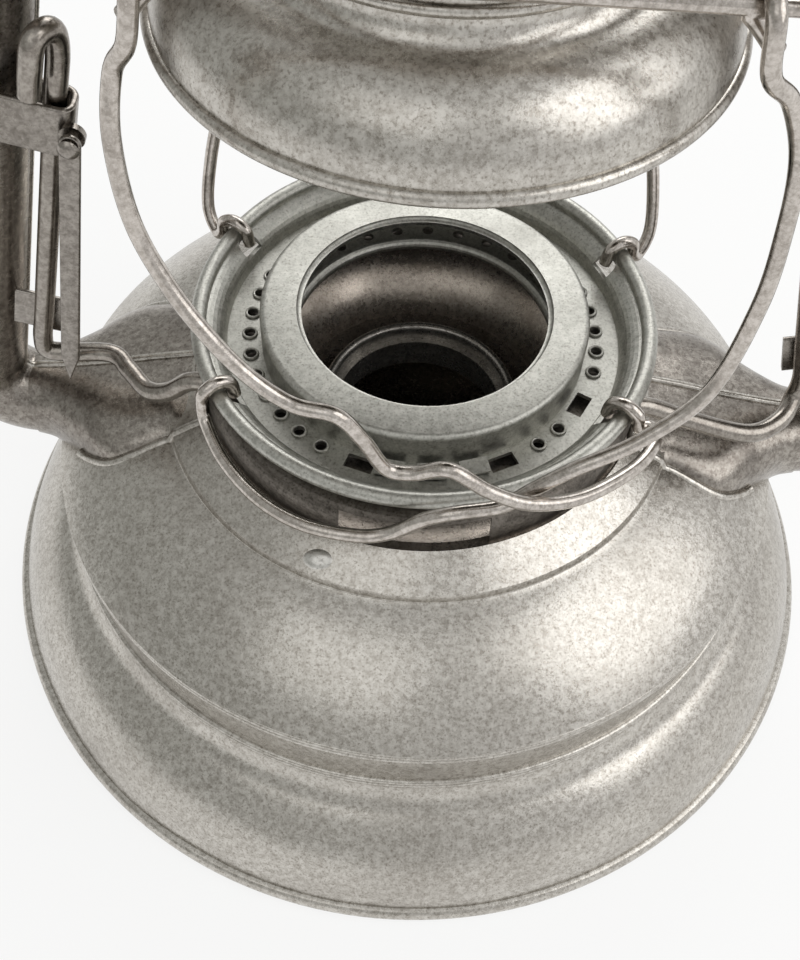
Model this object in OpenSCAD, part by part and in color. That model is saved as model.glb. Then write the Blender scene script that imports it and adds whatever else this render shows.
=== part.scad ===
// Storm lantern of tinned sheet steel: a flared tank with a raised air chamber,
// two leaning side tubes, a lifting globe plate with its wire guards, a loose hood,
// a crown with its chimney and cap, and a swinging bail.
// The origin is the centre of the base on the table. The side tubes lie along X.
// The front faces -Y.

/* [Sheet and wire] */
// Thickness of the sheet metal
sheet = 0.8; // [0.6:0.1:1]
// Diameter of the globe guard wires
guard_wire_d = 2.2; // [1.8:0.1:2.5]
// Diameter of the two lift rods
lift_rod_d = 3.2; // [2.6:0.1:3.4]
// Diameter of the bail wire
bail_wire_d = 2.8; // [2.4:0.1:3.2]
// Gap left between pieces that move past each other
run_gap = 0.35; // [0.3:0.05:0.5]
// Gap between a pivot pin and its hole, on the radius
pin_gap = 0.06; // [0.03:0.01:0.09]

/* [Base and tank] */
// Outer radius of the rolled rim that the lantern stands on
base_r = 81.5; // [78:0.5:84]
// Diameter of the rolled rim's section
rim_d = 3.8; // [3:0.2:4.4]
// Radial width of the flared skirt
flare_w = 10.6; // [8:0.2:12]
// Height of the flared skirt above the rim
flare_h = 15.3; // [13:0.1:18]
// Radial width of the cove above the flare
cove_w = 4; // [3:0.2:5]
// Height of the cove
cove_h = 6; // [5:0.2:8]
// Height of the upright band of the tank
band_h = 13.7; // [12:0.1:16]
// How far the seam beads stand out of the band
seam_bead = 0.9; // [0.5:0.1:1.2]
// Radial width of the domed tank top
dome_w = 20.1; // [18:0.1:21]
// Height of the domed tank top
dome_h = 12.1; // [10:0.1:14]
// Height of the small step round the dome
step_h = 1.5; // [1:0.1:2]
// Radial width of the slope from the step up to the ridge
slope_w = 6.2; // [5:0.1:7]
// Height of that slope
slope_h = 3.5; // [2.5:0.1:5]
// Height of the tank's floor above the table
floor_z = 9; // [7:0.5:12]

/* [Burner well and air chamber] */
// Depth of the well below the ridge
well_depth = 11.8; // [10:0.1:13]
// Bore radius of the burner collar
collar_bore_r = 15; // [13:0.5:15.5]
// Height of the burner collar above the well's floor
collar_h = 4; // [3:0.2:6]
// Radial width of the collar's body round its bore
collar_w = 2.2; // [1.8:0.1:2.6]
// Wall of the collar's sleeve
collar_wall = 1; // [0.8:0.1:1.2]
// Height of the roll on the collar's top
collar_roll = 1.1; // [0.8:0.1:1.4]
// Length of the collar's sleeve below the well's floor
collar_drop = 5; // [4:0.5:6]
// Height of the air chamber above the ridge
chamber_h = 6.2; // [5.5:0.1:8]
// Radius of the opening in the air chamber's top
chamber_mouth_r = 25.5; // [24:0.5:27]
// Width of the wick shaft's notch in the chamber's front
notch_w = 24; // [16:1:28]

/* [Globe plate] */
// Radius of the globe plate, to the middle of its rolled rim
plate_r = 37.6; // [36:0.2:38.4]
// Diameter of the plate's rolled rim
plate_rim_d = 2.6; // [2.2:0.1:3]
// Depth of the plate's dish
dish_h = 4.9; // [4.5:0.1:6]
// Radial width of the plate's dish, from its rim to its flat floor
dish_w = 4.3; // [3.8:0.1:5]
// Radius of the opening in the plate's floor
plate_mouth_r = 22; // [21.6:0.2:22.8]
// Outer radius of the raised ring that the globe's foot goes round
ring_r = 27.5; // [27:0.1:28]
// Radius of the opening in the raised ring
ring_mouth_r = 20.6; // [19:0.2:21.4]
// Height of the raised ring above the plate's floor
ring_h = 6.8; // [5:0.1:8]
// Diameter of the air holes
air_hole_d = 2; // [1.4:0.1:2.2]
// Number of places in the outer row of air holes
outer_holes = 40; // [32:2:44]
// Number of air holes in the inner row
inner_holes = 28; // [20:2:30]
// How far the globe plate lifts
lift_travel = 15; // [10:1:16]

/* [Side tubes] */
// Outer diameter of the side tubes
tube_d = 15; // [13:0.5:16]
// How far the top bends' centres lie inside the crown's wall
top_seat = 7.9; // [7:0.1:9]
// Radius of the bend at the tube's foot, on its centre line
elbow_r = 9; // [8.5:0.1:10]
// Radius of the bend at the tube's top, on its centre line
top_bend_r = 22; // [18:0.5:24]
// Distance of the foot bend's centre outside the tank's band
elbow_out = 4.2; // [3.6:0.1:5.6]
// Height of the side tubes' top run above the table
tube_top_z = 205; // [202:0.5:210]
// Half width of the air duct's boot where it sits on the tank's shoulder
boot_half = 16; // [14:0.5:17]
// Height of the boot above the tank's shoulder
boot_h = 12.5; // [11:0.5:14]
// Height of the tubes' foot run above the tank's shoulder, to its centre
duct_rise = 4; // [3:0.2:6]

/* [Lift rods and their guides] */
// Distance of the lift rods in front of the tubes' centres
rod_front = 6; // [5.5:0.1:6.5]
// Distance of the lift rods from the tubes' centre lines, along X
rod_stand = 11.8; // [11.6:0.1:12.4]
// Height of the lower guides above the table
guide_low_z = 71; // [70:0.5:73]
// Height of the upper guides above the table
guide_high_z = 112.5; // [106:0.5:114]
// Height of each guide
guide_h = 8; // [6:0.5:9]
// Wall of each guide
guide_wall = 1; // [0.8:0.1:1.2]
// Height of the lift rods' hairpins above the upper guides
hairpin_h = 8; // [7.5:0.5:12]
// Length of the catch leaf below its pivot
catch_len = 51; // [44:1:54]
// Tilt of the hanging catch leaf against its tube, in degrees
catch_tilt = 3; // [1:0.5:4]
// Width of the catch leaf
catch_w = 3; // [2.6:0.1:3.2]
// Diameter of the catch leaf's pivot pin
catch_pin_d = 1.6; // [1.4:0.1:1.8]

/* [Hood] */
// Radius of the hood's rolled edge, to its middle
hood_r = 37.2; // [36:0.2:38]
// Height of the hood's edge above the table, dropped to its stop
hood_z = 127; // [124:0.5:130]
// Diameter of the hood's rolled edge
hood_edge_d = 2; // [1.6:0.1:2.4]
// Height of the hood's bell and cove, from its edge to its neck
hood_flare_h = 14; // [12:0.5:15]
// Height of the hood's neck
hood_neck_h = 15; // [14:0.5:17]
// Half length of the straight cross wires on the hood's neck
cross_half = 28.8; // [28:0.2:30]
// Height of the cross wires above the hood's edge
cross_rise = 18; // [16.5:0.5:19]
// Drop of the cross wires' sloping ends
post_drop = 5; // [4:0.2:6]
// Half width of the hood's side loops
loop_half = 4; // [3.2:0.2:5]

/* [Crown and cap] */
// Outer radius of the chimney tube
chimney_r = 23.3; // [22:0.1:24]
// Outer radius of the crown
crown_r = 30; // [28:0.5:32]
// Height of the crown
crown_h = 30; // [26:1:34]
// Clear height of the vents between the crown and the cap
vent_h = 11; // [9:0.5:14]
// Number of vents round the chimney's top
vents = 12; // [8:1:14]
// Radius of the cap
cap_r = 28; // [26:0.5:31]
// Height of the cap's cone
cap_h = 12; // [10:0.5:15]
// Diameter of the stem that joins the hood to the lifting ring
stem_d = 3; // [2.5:0.1:3.5]
// Radius of the lifting ring, to the middle of its wire
ring_pull_r = 10; // [8:0.5:11]
// Diameter of the lifting ring's wire
ring_pull_d = 2; // [1.6:0.1:2.4]

/* [Bail] */
// Height of the bail's pivots above the table
bail_z = 172; // [168:1:176]
// Half the distance between the bail's legs
bail_half = 62.4; // [61.5:0.1:65]
// Length of the bail's straight legs
bail_leg = 40; // [34:1:50]
// Thickness of the bail's ear plates
ear_t = 1.6; // [1.2:0.1:2]

/* [Filler] */
// Outer radius of the filler neck
filler_r = 8.4; // [7.6:0.1:8.6]
// Height of the filler neck above the tank's dome
filler_h = 5.5; // [5:0.1:7]
// Wall of the filler cap
filler_wall = 1.4; // [1.2:0.1:1.5]
// Number of grip grooves round the filler cap
filler_grooves = 18; // [12:1:24]

/* [Hidden] */
$fn = 96;

// Colours of the metal
TIN = "#8f8d86";
PALE = "#a9aaa4";
DULL = "#7c776d";
WIRE = "#a39c93";

// Slack that lets a cut run clear of the faces it starts from
over = 1;

// Radii and heights of the tank, from the table up
rim_half = rim_d / 2;
rim_mid_r = base_r - rim_half;
// The rim is pressed flat under and over to half its section's radius
rim_flat = rim_half * 0.52;
rim_h = 2 * sqrt(rim_half * rim_half - rim_flat * rim_flat);
skirt_r = rim_mid_r + sheet / 2;
flare_r = skirt_r - flare_w;
flare_z = rim_h + flare_h;
band_r = flare_r - cove_w;
band_z = flare_z + cove_h;
dome_z = band_z + band_h;
step_r = band_r - dome_w;
step_z = dome_z + dome_h;
slope_r = step_r - step_h / 2;
ridge_r = slope_r - slope_w;
ridge_z = step_z + step_h + slope_h;
// The crown of the dome's curve, the flare's and the cove's
dome_bow = 1.4;
flare_bow = 1.7;
cove_bow = 0.9;

// Heights of the air chamber and the globe plate
ridge_land = 2 * sheet;
well_z = ridge_z - well_depth;
collar_r = collar_bore_r + collar_w;
chamber_r = ridge_r - sheet / 2;
chamber_z = ridge_z + chamber_h;
lip_h = 1.2;
plate_z = chamber_z + run_gap + lip_h + sheet;
plate_rim_z = plate_z + dish_h;
plate_rim_r = plate_rim_d / 2;
plate_floor_r = plate_r - dish_w;

// The side tube's centre line, on the +X side
tube_r = tube_d / 2;
duct_z = dome_z + duct_rise;
elbow_x = band_r + elbow_out;
elbow_z = duct_z + elbow_r;
top_bend_x = crown_r - top_seat;
top_bend_z = tube_top_z - top_bend_r;
// The tube leans so that it runs straight on from its foot bend into its top bend
bend_step = [top_bend_x - elbow_x, top_bend_z - elbow_z];
tube_lean = atan2(bend_step.y, bend_step.x) - acos((elbow_r - top_bend_r) / norm(bend_step));
tube_low_x = elbow_x + elbow_r * cos(tube_lean);
tube_low_z = elbow_z + elbow_r * sin(tube_lean);
tube_high_z = top_bend_z + top_bend_r * sin(tube_lean);
tube_run = (tube_high_z - tube_low_z) / cos(tube_lean);
function tube_x(z) = tube_low_x - (z - tube_low_z) * tan(tube_lean);

// Rods, guides and catch, in the tube's own leaning frame
rod_r = lift_rod_d / 2;
rod_in = rod_stand * cos(tube_lean);
rod_slide = lift_travel * sin(tube_lean);
slot_half = rod_r + run_gap;
guide_tip = rod_in + slot_half + guide_wall;
guide_front = rod_front + slot_half + guide_wall;
catch_t = 0.9;
catch_in = guide_tip;
catch_pin_r = catch_pin_d / 2;
catch_gap = 0.8;

// Hood, its wires and its stop on the chimney
hood_edge_r = hood_edge_d / 2;
neck_in_r = chimney_r + 2 * run_gap + sheet;
neck_r = neck_in_r + sheet;
neck_z = hood_z + hood_flare_h;
neck_top_z = neck_z + hood_neck_h;
stop_r = neck_in_r - run_gap;
stop_h = 2;
stop_z = neck_top_z - sheet - run_gap - stop_h;
wire_r = guard_wire_d / 2;
cross_y = neck_r + wire_r;
cross_z = hood_z + cross_rise;
post_x = cross_half + post_drop / 2;
post_z = cross_z - post_drop / 2;
bar_z = stop_z - 5;
bar_h = 3;
bar_w = 5;
// The side loops lie on the hood's edge and stop short of the tubes when the hood is up
loop_z = hood_z + hood_edge_d + wire_r + run_gap;
loop_reach = tube_x(loop_z + lift_travel) - tube_r / cos(tube_lean) - wire_r - 2 * run_gap;

// Crown, chimney and cap
crown_z = tube_top_z - crown_h / 2;
crown_top_z = crown_z + crown_h;
cap_z = crown_top_z + vent_h;
cap_top_z = cap_z + cap_h;
cap_hole_r = stem_d / 2 + run_gap;
cap_bow = 1.5;
eye_r = 2.2;
eye_z = cap_top_z + eye_r + sheet;
pull_r = ring_pull_d / 2;
// The lifting ring lies back on the cap's cone
cap_slope = atan(cap_h / cap_r);
eye_lift = (eye_z - cap_top_z) * cos(cap_slope);
pull_tilt = 90 + cap_slope + asin((eye_lift - pull_r - run_gap) / (2 * ring_pull_r));

// Guards, from the plate's rim to the hood's cross wires
guard_rise = post_z - plate_rim_z;
hook_r = plate_rim_r + run_gap + wire_r;
front_hook_angle = 58.5;
rear_hook_angle = 116;
hook_hole_r = wire_r + 3 * run_gap;

// Bail and its ears
bail_r = bail_wire_d / 2;
ear_x = bail_half - bail_r - run_gap - ear_t;
ear_half_y = 5;
ear_drop = 12;
bail_pin_in = ear_x - 1.2;

// Filler, standing square on the middle of the dome at the back
filler_tilt = atan(dome_h / dome_w);
filler_y = band_r - dome_w / 2;
filler_z = dome_z + dome_h / 2 + dome_bow;
filler_bore_r = filler_r - 1.3;
filler_cap_r = filler_r + run_gap + filler_wall;
gasket_t = 0.8;
filler_low = 1.6;

// Points along an arc from p to q that bows out to the left by sag
function bow(p, q, sag, steps = 8) =
    let (
        chord = norm(q - p),
        along = (q - p) / chord,
        left = sign(sag) * [-along.y, along.x],
        s = abs(sag),
        half = 2 * atan(2 * s / chord),
        radius = chord / 2 / sin(half),
        middle = (p + q) / 2 + left * (s - radius)
    )
    [for (k = [0:steps])
        let (t = half * (2 * k / steps - 1))
        middle + radius * (sin(t) * along + cos(t) * left)];

// A sheet of metal: an outline and the same outline moved by inset
function sheet_of(outline, inset) =
    concat(outline, [for (k = [len(outline) - 1:-1:0]) outline[k] + inset]);

// Round section at [r, z] that is pressed flat under and over
function flat_round(r, z, radius, flat) =
    let (tip = acos(flat / radius))
    concat(
        [for (k = [0:12]) [r, z] + radius * [cos(tip * (k / 6 - 1)), sin(tip * (k / 6 - 1))]],
        [for (k = [0:12]) [r, z] - radius * [cos(tip * (k / 6 - 1)), sin(tip * (k / 6 - 1))]]
    );

module turned(profile) {
    rotate_extrude() polygon(profile);
}

// Smooth path through points, and a round wire along it
function between(a, b, c, d, t) =
    0.5 * (2 * b + (c - a) * t + (2 * a - 5 * b + 4 * c - d) * t * t
        + (3 * b - a - 3 * c + d) * t * t * t);
function smooth(points, steps) =
    let (last = len(points) - 1)
    concat(
        [for (i = [0:last - 1], k = [0:steps - 1])
            between(points[max(i - 1, 0)], points[i], points[i + 1],
                points[min(i + 2, last)], k / steps)],
        [points[last]]
    );
function unit(v) = v / norm(v);
function heading(path, i) =
    unit(path[min(i + 1, len(path) - 1)] - path[max(i - 1, 0)]);
function sides(path, i, side) =
    i == len(path) ? [] :
    let (t = heading(path, i), next = unit(side - (side * t) * t))
    concat([next], sides(path, i + 1, next));

module wire(points, diameter, steps = 4, corners = 8) {
    path = smooth(points, steps);
    rings = len(path);
    across = sides(path, 0, [0.31, 0.87, 0.39]);
    skin = [for (i = [0:rings - 1], k = [0:corners - 1])
        let (a = 360 * k / corners)
        path[i] + diameter / 2
            * (cos(a) * across[i] + sin(a) * cross(heading(path, i), across[i]))];
    function at(i, k) = i * corners + k % corners;
    walls = [for (i = [0:rings - 2], k = [0:corners - 1], half = [0, 1])
        half == 0 ? [at(i, k), at(i + 1, k), at(i + 1, k + 1)]
            : [at(i, k), at(i + 1, k + 1), at(i, k + 1)]];
    ends = [for (k = [1:corners - 2], end = [0, 1])
        end == 0 ? [at(0, 0), at(0, k), at(0, k + 1)]
            : [at(rings - 1, 0), at(rings - 1, k + 1), at(rings - 1, k)]];
    polyhedron(skin, concat(walls, ends), convexity = 10);
}

// Base and tank

skirt_line = concat(
    bow([band_r, band_z], [flare_r, flare_z], -cove_bow),
    bow([flare_r, flare_z], [skirt_r, rim_h], flare_bow)
);
dome_line = concat(
    [[band_r, dome_z]],
    bow([band_r - sheet / 2, dome_z + sheet / 2], [step_r, step_z], -dome_bow),
    [[slope_r, step_z + step_h], [ridge_r, ridge_z]]
);

// The whole body of the tank as one solid, for cutting what sits on it
module tank_core() {
    bead_r = band_r + seam_bead;
    turned(concat([[0, 0], [bead_r, 0], [bead_r, dome_z]], dome_line, [[0, ridge_z]]));
}

module base_rim() {
    color(TIN) turned(flat_round(rim_mid_r, rim_h / 2, rim_half, rim_flat));
}

module base_skirt() {
    inner = [for (k = [len(skirt_line) - 1:-1:0]) skirt_line[k] - [sheet, 0]];
    color(TIN) turned(concat(skirt_line, inner));
}

module tank_wall() {
    bead = 2.4;
    line = concat(
        bow([band_r, band_z], [band_r, band_z + bead], -seam_bead, 6),
        bow([band_r, dome_z - 2 * bead], [band_r, dome_z - bead], -seam_bead * 0.6, 6),
        bow([band_r, dome_z - bead], [band_r, dome_z], -seam_bead * 0.6, 6)
    );
    color(TIN) turned(concat(line, [[band_r - sheet, dome_z], [band_r - sheet, band_z]]));
}

module tank_bottom() {
    under = concat([[0, 0]], [for (k = [len(skirt_line) - 1:-1:0]) skirt_line[k] - [sheet, 0]],
        [[0, band_z]]);
    color(DULL) intersection() {
        translate([0, 0, floor_z]) cylinder(h = sheet, r = base_r);
        turned(under);
    }
}

module filler_frame() {
    translate([0, filler_y, filler_z]) rotate([-filler_tilt, 0, 0]) children();
}

module tank_top() {
    color(TIN) difference() {
        turned(sheet_of(dome_line, [-sheet / 2, -sheet]));
        translate([0, 0, dome_z - 2 * sheet]) cylinder(h = 2 * sheet, r = base_r);
        translate([0, 0, ridge_z - 2 * sheet]) cylinder(h = 4 * sheet, r = ridge_r);
        filler_frame() translate([0, 0, -over - 5]) cylinder(h = 10 + over, r = filler_r);
    }
}

module tank_well() {
    land_r = ridge_r - ridge_land;
    line = concat(
        [[ridge_r, ridge_z], [land_r, ridge_z]],
        bow([land_r - sheet / 2, ridge_z - sheet], [collar_r + 6, well_z], -2),
        [[collar_r, well_z]]
    );
    color(DULL) difference() {
        turned(sheet_of(line, [0.4 * sheet, -sheet]));
        translate([0, 0, ridge_z - 2 * sheet]) difference() {
            cylinder(h = 4 * sheet, r = ridge_r + 4);
            cylinder(h = 4 * sheet, r = ridge_r);
        }
        translate([0, 0, well_z - 2 * sheet]) cylinder(h = 4 * sheet, r = collar_r);
    }
}

module burner_collar() {
    roll_z = well_z + collar_h - collar_roll;
    sleeve_r = collar_bore_r + collar_wall;
    color(TIN) turned(concat(
        [[collar_bore_r, well_z - collar_drop], [sleeve_r, well_z - collar_drop]],
        [[sleeve_r, well_z - sheet], [collar_r, well_z - sheet], [collar_r, roll_z]],
        bow([collar_r + collar_roll / 2, roll_z], [sleeve_r, roll_z], -collar_roll),
        [[sleeve_r, well_z + sheet], [collar_bore_r, well_z + sheet]]
    ));
}

module air_chamber() {
    corner = 3;
    notch_back = 4;
    line = concat(
        [[chamber_r, ridge_z]],
        bow([chamber_r, chamber_z - corner], [chamber_r - corner, chamber_z], -0.8),
        [[chamber_mouth_r, chamber_z]]
    );
    color(DULL) difference() {
        turned(sheet_of(line, [-sheet, -sheet]));
        translate([0, 0, ridge_z - 2 * sheet]) cylinder(h = 2 * sheet, r = base_r);
        translate([-notch_w / 2, -base_r, ridge_z])
            cube([notch_w, base_r - chamber_mouth_r - notch_back, chamber_h - sheet]);
    }
}

// Side tubes and their ducts, built on +X and mirrored for the left

// The boot swells from the tube's foot run into a low bulge over the tank's shoulder
module boot_bulge(x, z, height, inset) {
    translate([x, 0, z]) scale([height - inset, boot_half - inset, height - inset]) sphere(1);
}

module duct_body(inset) {
    lip = 0.4;
    toe_h = boot_h - 4;
    hull($fn = 32) {
        translate([elbow_x - lip, 0, duct_z]) rotate([0, 90, 0])
            cylinder(h = lip + inset, r = tube_r - inset);
        boot_bulge((band_r + step_r) / 2, dome_z, boot_h, inset);
        boot_bulge(step_r, dome_z + dome_h / 2, toe_h, inset);
    }
}

module air_duct() {
    color(TIN) difference() {
        duct_body(0);
        duct_body(sheet);
        tank_core();
    }
}

module air_duct_left() { mirror([1, 0, 0]) air_duct(); }
module air_duct_right() { air_duct(); }

// A pipe bend in the XZ plane about [x, z], over the turn from one angle through another
module pipe_bend(x, z, radius, turn, bore_r = tube_r - sheet) {
    translate([x, 0, z]) rotate([90, 0, 0]) rotate([0, 0, turn[0]])
        rotate_extrude(angle = turn[1]) translate([radius, 0]) difference() {
            circle(tube_r, $fn = 48);
            if (bore_r > 0) circle(bore_r, $fn = 48);
        }
}

module tube_frame(z) {
    translate([tube_x(z), 0, z]) rotate([0, -tube_lean, 0]) children();
}

module side_tube() {
    color(TIN) tube_frame(tube_low_z) difference() {
        cylinder(h = tube_run, r = tube_r);
        translate([0, 0, -over]) cylinder(h = tube_run + 2 * over, r = tube_r - sheet);
    }
}

module side_tube_left() { mirror([1, 0, 0]) side_tube(); }
module side_tube_right() { side_tube(); }

module top_bend() {
    color(TIN) difference() {
        pipe_bend(top_bend_x, top_bend_z, top_bend_r, [tube_lean, 90 - tube_lean]);
        translate([0, 0, crown_z - over]) cylinder(h = crown_h + 2 * over, r = crown_r - sheet);
    }
}

module top_bend_left() { mirror([1, 0, 0]) top_bend(); }
module top_bend_right() { top_bend(); }

module foot_bend() {
    color(TIN) pipe_bend(elbow_x, elbow_z, elbow_r, [-90, 90 + tube_lean]);
}

module foot_bend_left() { mirror([1, 0, 0]) foot_bend(); }
module foot_bend_right() { foot_bend(); }

// Crown, chimney and cap

module crown() {
    shoulder = 5;
    line = concat(
        [[chimney_r, crown_z], [crown_r - shoulder, crown_z]],
        bow([crown_r - shoulder, crown_z], [crown_r, crown_z + shoulder], -1.4),
        bow([crown_r, crown_top_z - shoulder], [crown_r - shoulder, crown_top_z], -1.4),
        [[chimney_r, crown_top_z]]
    );
    hollow = [
        [0, crown_z + sheet], [crown_r - shoulder, crown_z + sheet],
        [crown_r - sheet, crown_z + shoulder], [crown_r - sheet, crown_top_z - shoulder],
        [crown_r - shoulder, crown_top_z - sheet], [0, crown_top_z - sheet]
    ];
    color(TIN) difference() {
        turned(line);
        turned(hollow);
        for (side = [0, 1]) mirror([side, 0, 0])
            pipe_bend(top_bend_x, top_bend_z, top_bend_r, [tube_lean, 90 - tube_lean], 0);
    }
}

cap_line = bow([cap_r, cap_z], [cap_hole_r, cap_top_z], cap_bow);

module chimney() {
    vent_r = vent_h * 0.32;
    stop_ease = 0.6;
    slot_h = bar_h + lift_travel + 2 * run_gap;
    color(DULL) difference() {
        union() {
            translate([0, 0, stop_z]) cylinder(h = cap_top_z - stop_z, r = chimney_r);
            turned([
                [0, stop_z], [stop_r - stop_ease, stop_z],
                [stop_r, stop_z + stop_ease], [stop_r, stop_z + stop_h - stop_ease],
                [stop_r - stop_ease, stop_z + stop_h], [0, stop_z + stop_h]
            ]);
        }
        translate([0, 0, stop_z - over]) cylinder(h = cap_top_z, r = chimney_r - sheet);
        turned(concat(
            [for (p = cap_line) p - [0, sheet]],
            [[0, cap_top_z + over], [2 * cap_r, cap_top_z + over], [2 * cap_r, cap_z - sheet]]
        ));
        for (k = [0:vents - 1]) rotate([0, 0, 360 * (k + 0.5) / vents])
            translate([0, 0, crown_top_z + vent_h / 2]) rotate([0, 90, 0])
                cylinder(h = cap_r, r = vent_r);
        translate([-base_r, -bar_w / 2 - 2 * run_gap, stop_z - over])
            cube([2 * base_r, bar_w + 4 * run_gap, bar_z - stop_z + slot_h + over]);
    }
}

module chimney_cap() {
    color(TIN) turned(sheet_of(cap_line, [0, -sheet]));
}

// Filler

module filler_neck() {
    color(TIN) filler_frame() difference() {
        translate([0, 0, -3]) cylinder(h = 3 + filler_h, r = filler_r);
        translate([0, 0, -3 - over]) cylinder(h = 3 + filler_h + 2 * over, r = filler_bore_r);
    }
}

module filler_cap() {
    ceiling = filler_h + gasket_t + 0.1;
    color(TIN) filler_frame() difference() {
        translate([0, 0, filler_low])
            cylinder(h = ceiling + filler_wall - filler_low, r = filler_cap_r);
        translate([0, 0, filler_low - over])
            cylinder(h = ceiling - filler_low + over, r = filler_r + run_gap);
        for (k = [0:filler_grooves - 1]) rotate([0, 0, 360 * k / filler_grooves])
            translate([filler_cap_r + 0.5, 0, filler_low - over])
                cylinder(h = ceiling - filler_low + over, r = 1, $fn = 24);
    }
}

module cap_gasket() {
    color("#3a342d") filler_frame() translate([0, 0, filler_h + 0.1]) difference() {
        cylinder(h = gasket_t, r = filler_r);
        translate([0, 0, -over]) cylinder(h = gasket_t + 2 * over, r = filler_bore_r);
    }
}

// Globe plate and ring

// The places where the plate's floor has a slot instead of an air hole
plate_slots = [-18, 27, 62];
slot_w = 4.6;
slot_l = 2.6;
outer_row = ring_r + air_hole_d;
inner_row = (plate_mouth_r + lip_h + ring_r - sheet) / 2;

module plate_slot(angle) {
    rotate([0, 0, angle]) translate([-slot_w / 2, -outer_row - slot_l / 2, plate_z - 2 * sheet])
        cube([slot_w, slot_l, 4 * sheet]);
}

function near_slot(angle) = abs(angle) < 12 || min([for (s = plate_slots) abs(angle - s)]) < 8;

module air_hole(row, angle) {
    rotate([0, 0, angle]) translate([0, -row, plate_z - 2 * sheet])
        cylinder(h = 4 * sheet, r = air_hole_d / 2, $fn = 24);
}

module hook_hole(angle) {
    low_z = plate_rim_z - guard_wire_d * 0.55 - wire_r - 2 * run_gap;
    rotate([0, 0, angle]) translate([0, -plate_r + hook_r + run_gap, low_z])
        cylinder(h = dish_h + plate_rim_d, r = hook_hole_r);
}

module globe_plate() {
    wall_r = plate_r - plate_rim_r * 0.7;
    line = concat(
        bow([wall_r, plate_rim_z - plate_rim_r * 0.5], [plate_floor_r, plate_z], -0.9),
        [[plate_mouth_r + lip_h, plate_z]],
        bow([plate_mouth_r + lip_h, plate_z], [plate_mouth_r, plate_z - lip_h], -0.3, 4)
    );
    color(PALE) difference() {
        union() {
            turned(sheet_of(line, [0.3 * sheet, -sheet]));
            rotate_extrude() translate([plate_r, plate_rim_z]) circle(plate_rim_r, $fn = 32);
        }
        for (k = [0:outer_holes - 1])
            let (angle = 360 * (k + 0.5) / outer_holes - 180)
            if (!near_slot(angle)) air_hole(outer_row, angle);
        for (k = [0:inner_holes - 1]) air_hole(inner_row, 360 * k / inner_holes);
        for (s = plate_slots) plate_slot(s);
        for (side = [-1, 1], angle = [front_hook_angle, rear_hook_angle]) hook_hole(side * angle);
    }
}

module globe_ring() {
    corner = 1;
    line = concat(
        [[ring_r, plate_z]],
        bow([ring_r, plate_z + ring_h - corner], [ring_r - corner, plate_z + ring_h], -0.3, 4),
        [[ring_mouth_r, plate_z + ring_h]]
    );
    color(PALE) difference() {
        turned(sheet_of(line, [-sheet, -sheet]));
        translate([0, 0, plate_z - 2 * sheet]) cylinder(h = 2 * sheet, r = base_r);
    }
}

// Lift rods: a hairpin at the top, a leaning shank and a crank to the plate's rim

function rod_at(z) = [tube_x(z) - rod_stand, -rod_front, z];
rod_top = guide_high_z + hairpin_h;
rod_low = guide_low_z - 6.5;
hairpin = [
    rod_at(guide_high_z + guide_h / 2) + [2.6, -4.2, 0],
    rod_at(rod_top) + [2.6, -4.2, 0],
    rod_at(rod_top + 3) + [2.2, -3.4, 0.6],
    rod_at(rod_top + 3) + [0.6, -1, 0.6],
    rod_at(rod_top)
];
shank = [
    rod_at(guide_high_z),
    rod_at((guide_high_z + guide_low_z) / 2),
    rod_at(guide_low_z),
    rod_at(rod_low)
];
rod_seat_z = plate_rim_z - plate_rim_r - rod_r - 0.1;
function rim_spot(out, angle, z) =
    [(plate_r + out) * sin(angle), -(plate_r + out) * cos(angle), z];
crank_in = rod_at(rod_low - 2);

module lift_wire_left() {
    crank = [
        crank_in + [-0.6, 0, -1],
        crank_in + [-3.5, 0, -1.6],
        crank_in + [-11.5, 0, -1.4],
        crank_in + [-15, -3, -2],
        rim_spot(9.6, 74, rod_seat_z - 5.2),
        rim_spot(6.4, 71, rod_seat_z - 3.6),
        rim_spot(3, 69, rod_seat_z - 0.6),
        rim_spot(0.4, 67, rod_seat_z)
    ];
    color(WIRE) mirror([1, 0, 0]) wire(concat(hairpin, shank, crank), lift_rod_d);
}

module lift_wire_right() {
    crank = [
        crank_in + [-0.8, -1, -2],
        crank_in + [-3.4, -5, -3.6],
        crank_in + [-9, -8, -3.6],
        rim_spot(10, 72, rod_seat_z - 3.6),
        rim_spot(3, 69, rod_seat_z - 0.8),
        rim_spot(0.4, 67, rod_seat_z)
    ];
    color(WIRE) wire(concat(hairpin, shank, crank), lift_rod_d);
}

// Upper guides on the side tubes: strap loops round the rods, long enough
// for a rod's drift across the leaning tube as it lifts

module guide(z) {
    slot_out = rod_in - rod_slide - slot_half;
    color(TIN) tube_frame(z) difference() {
        translate([-guide_tip, -guide_front, -guide_h / 2])
            cube([guide_tip, 2 * (guide_front - rod_front), guide_h]);
        translate([-guide_tip + guide_wall, -guide_front + guide_wall, -guide_h])
            cube([guide_tip - guide_wall - slot_out, 2 * slot_half, 2 * guide_h]);
        translate([0, 0, -guide_h]) cylinder(h = 2 * guide_h, r = tube_r);
    }
}

// Lower guides: plates behind the rods, open to the front so that the cranks lift past them
module guide_rest(z) {
    color(TIN) tube_frame(z) difference() {
        translate([-guide_tip, -rod_front + slot_half, -guide_h / 2])
            cube([guide_tip, guide_wall, guide_h]);
        translate([0, 0, -guide_h]) cylinder(h = 2 * guide_h, r = tube_r);
    }
}

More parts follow.
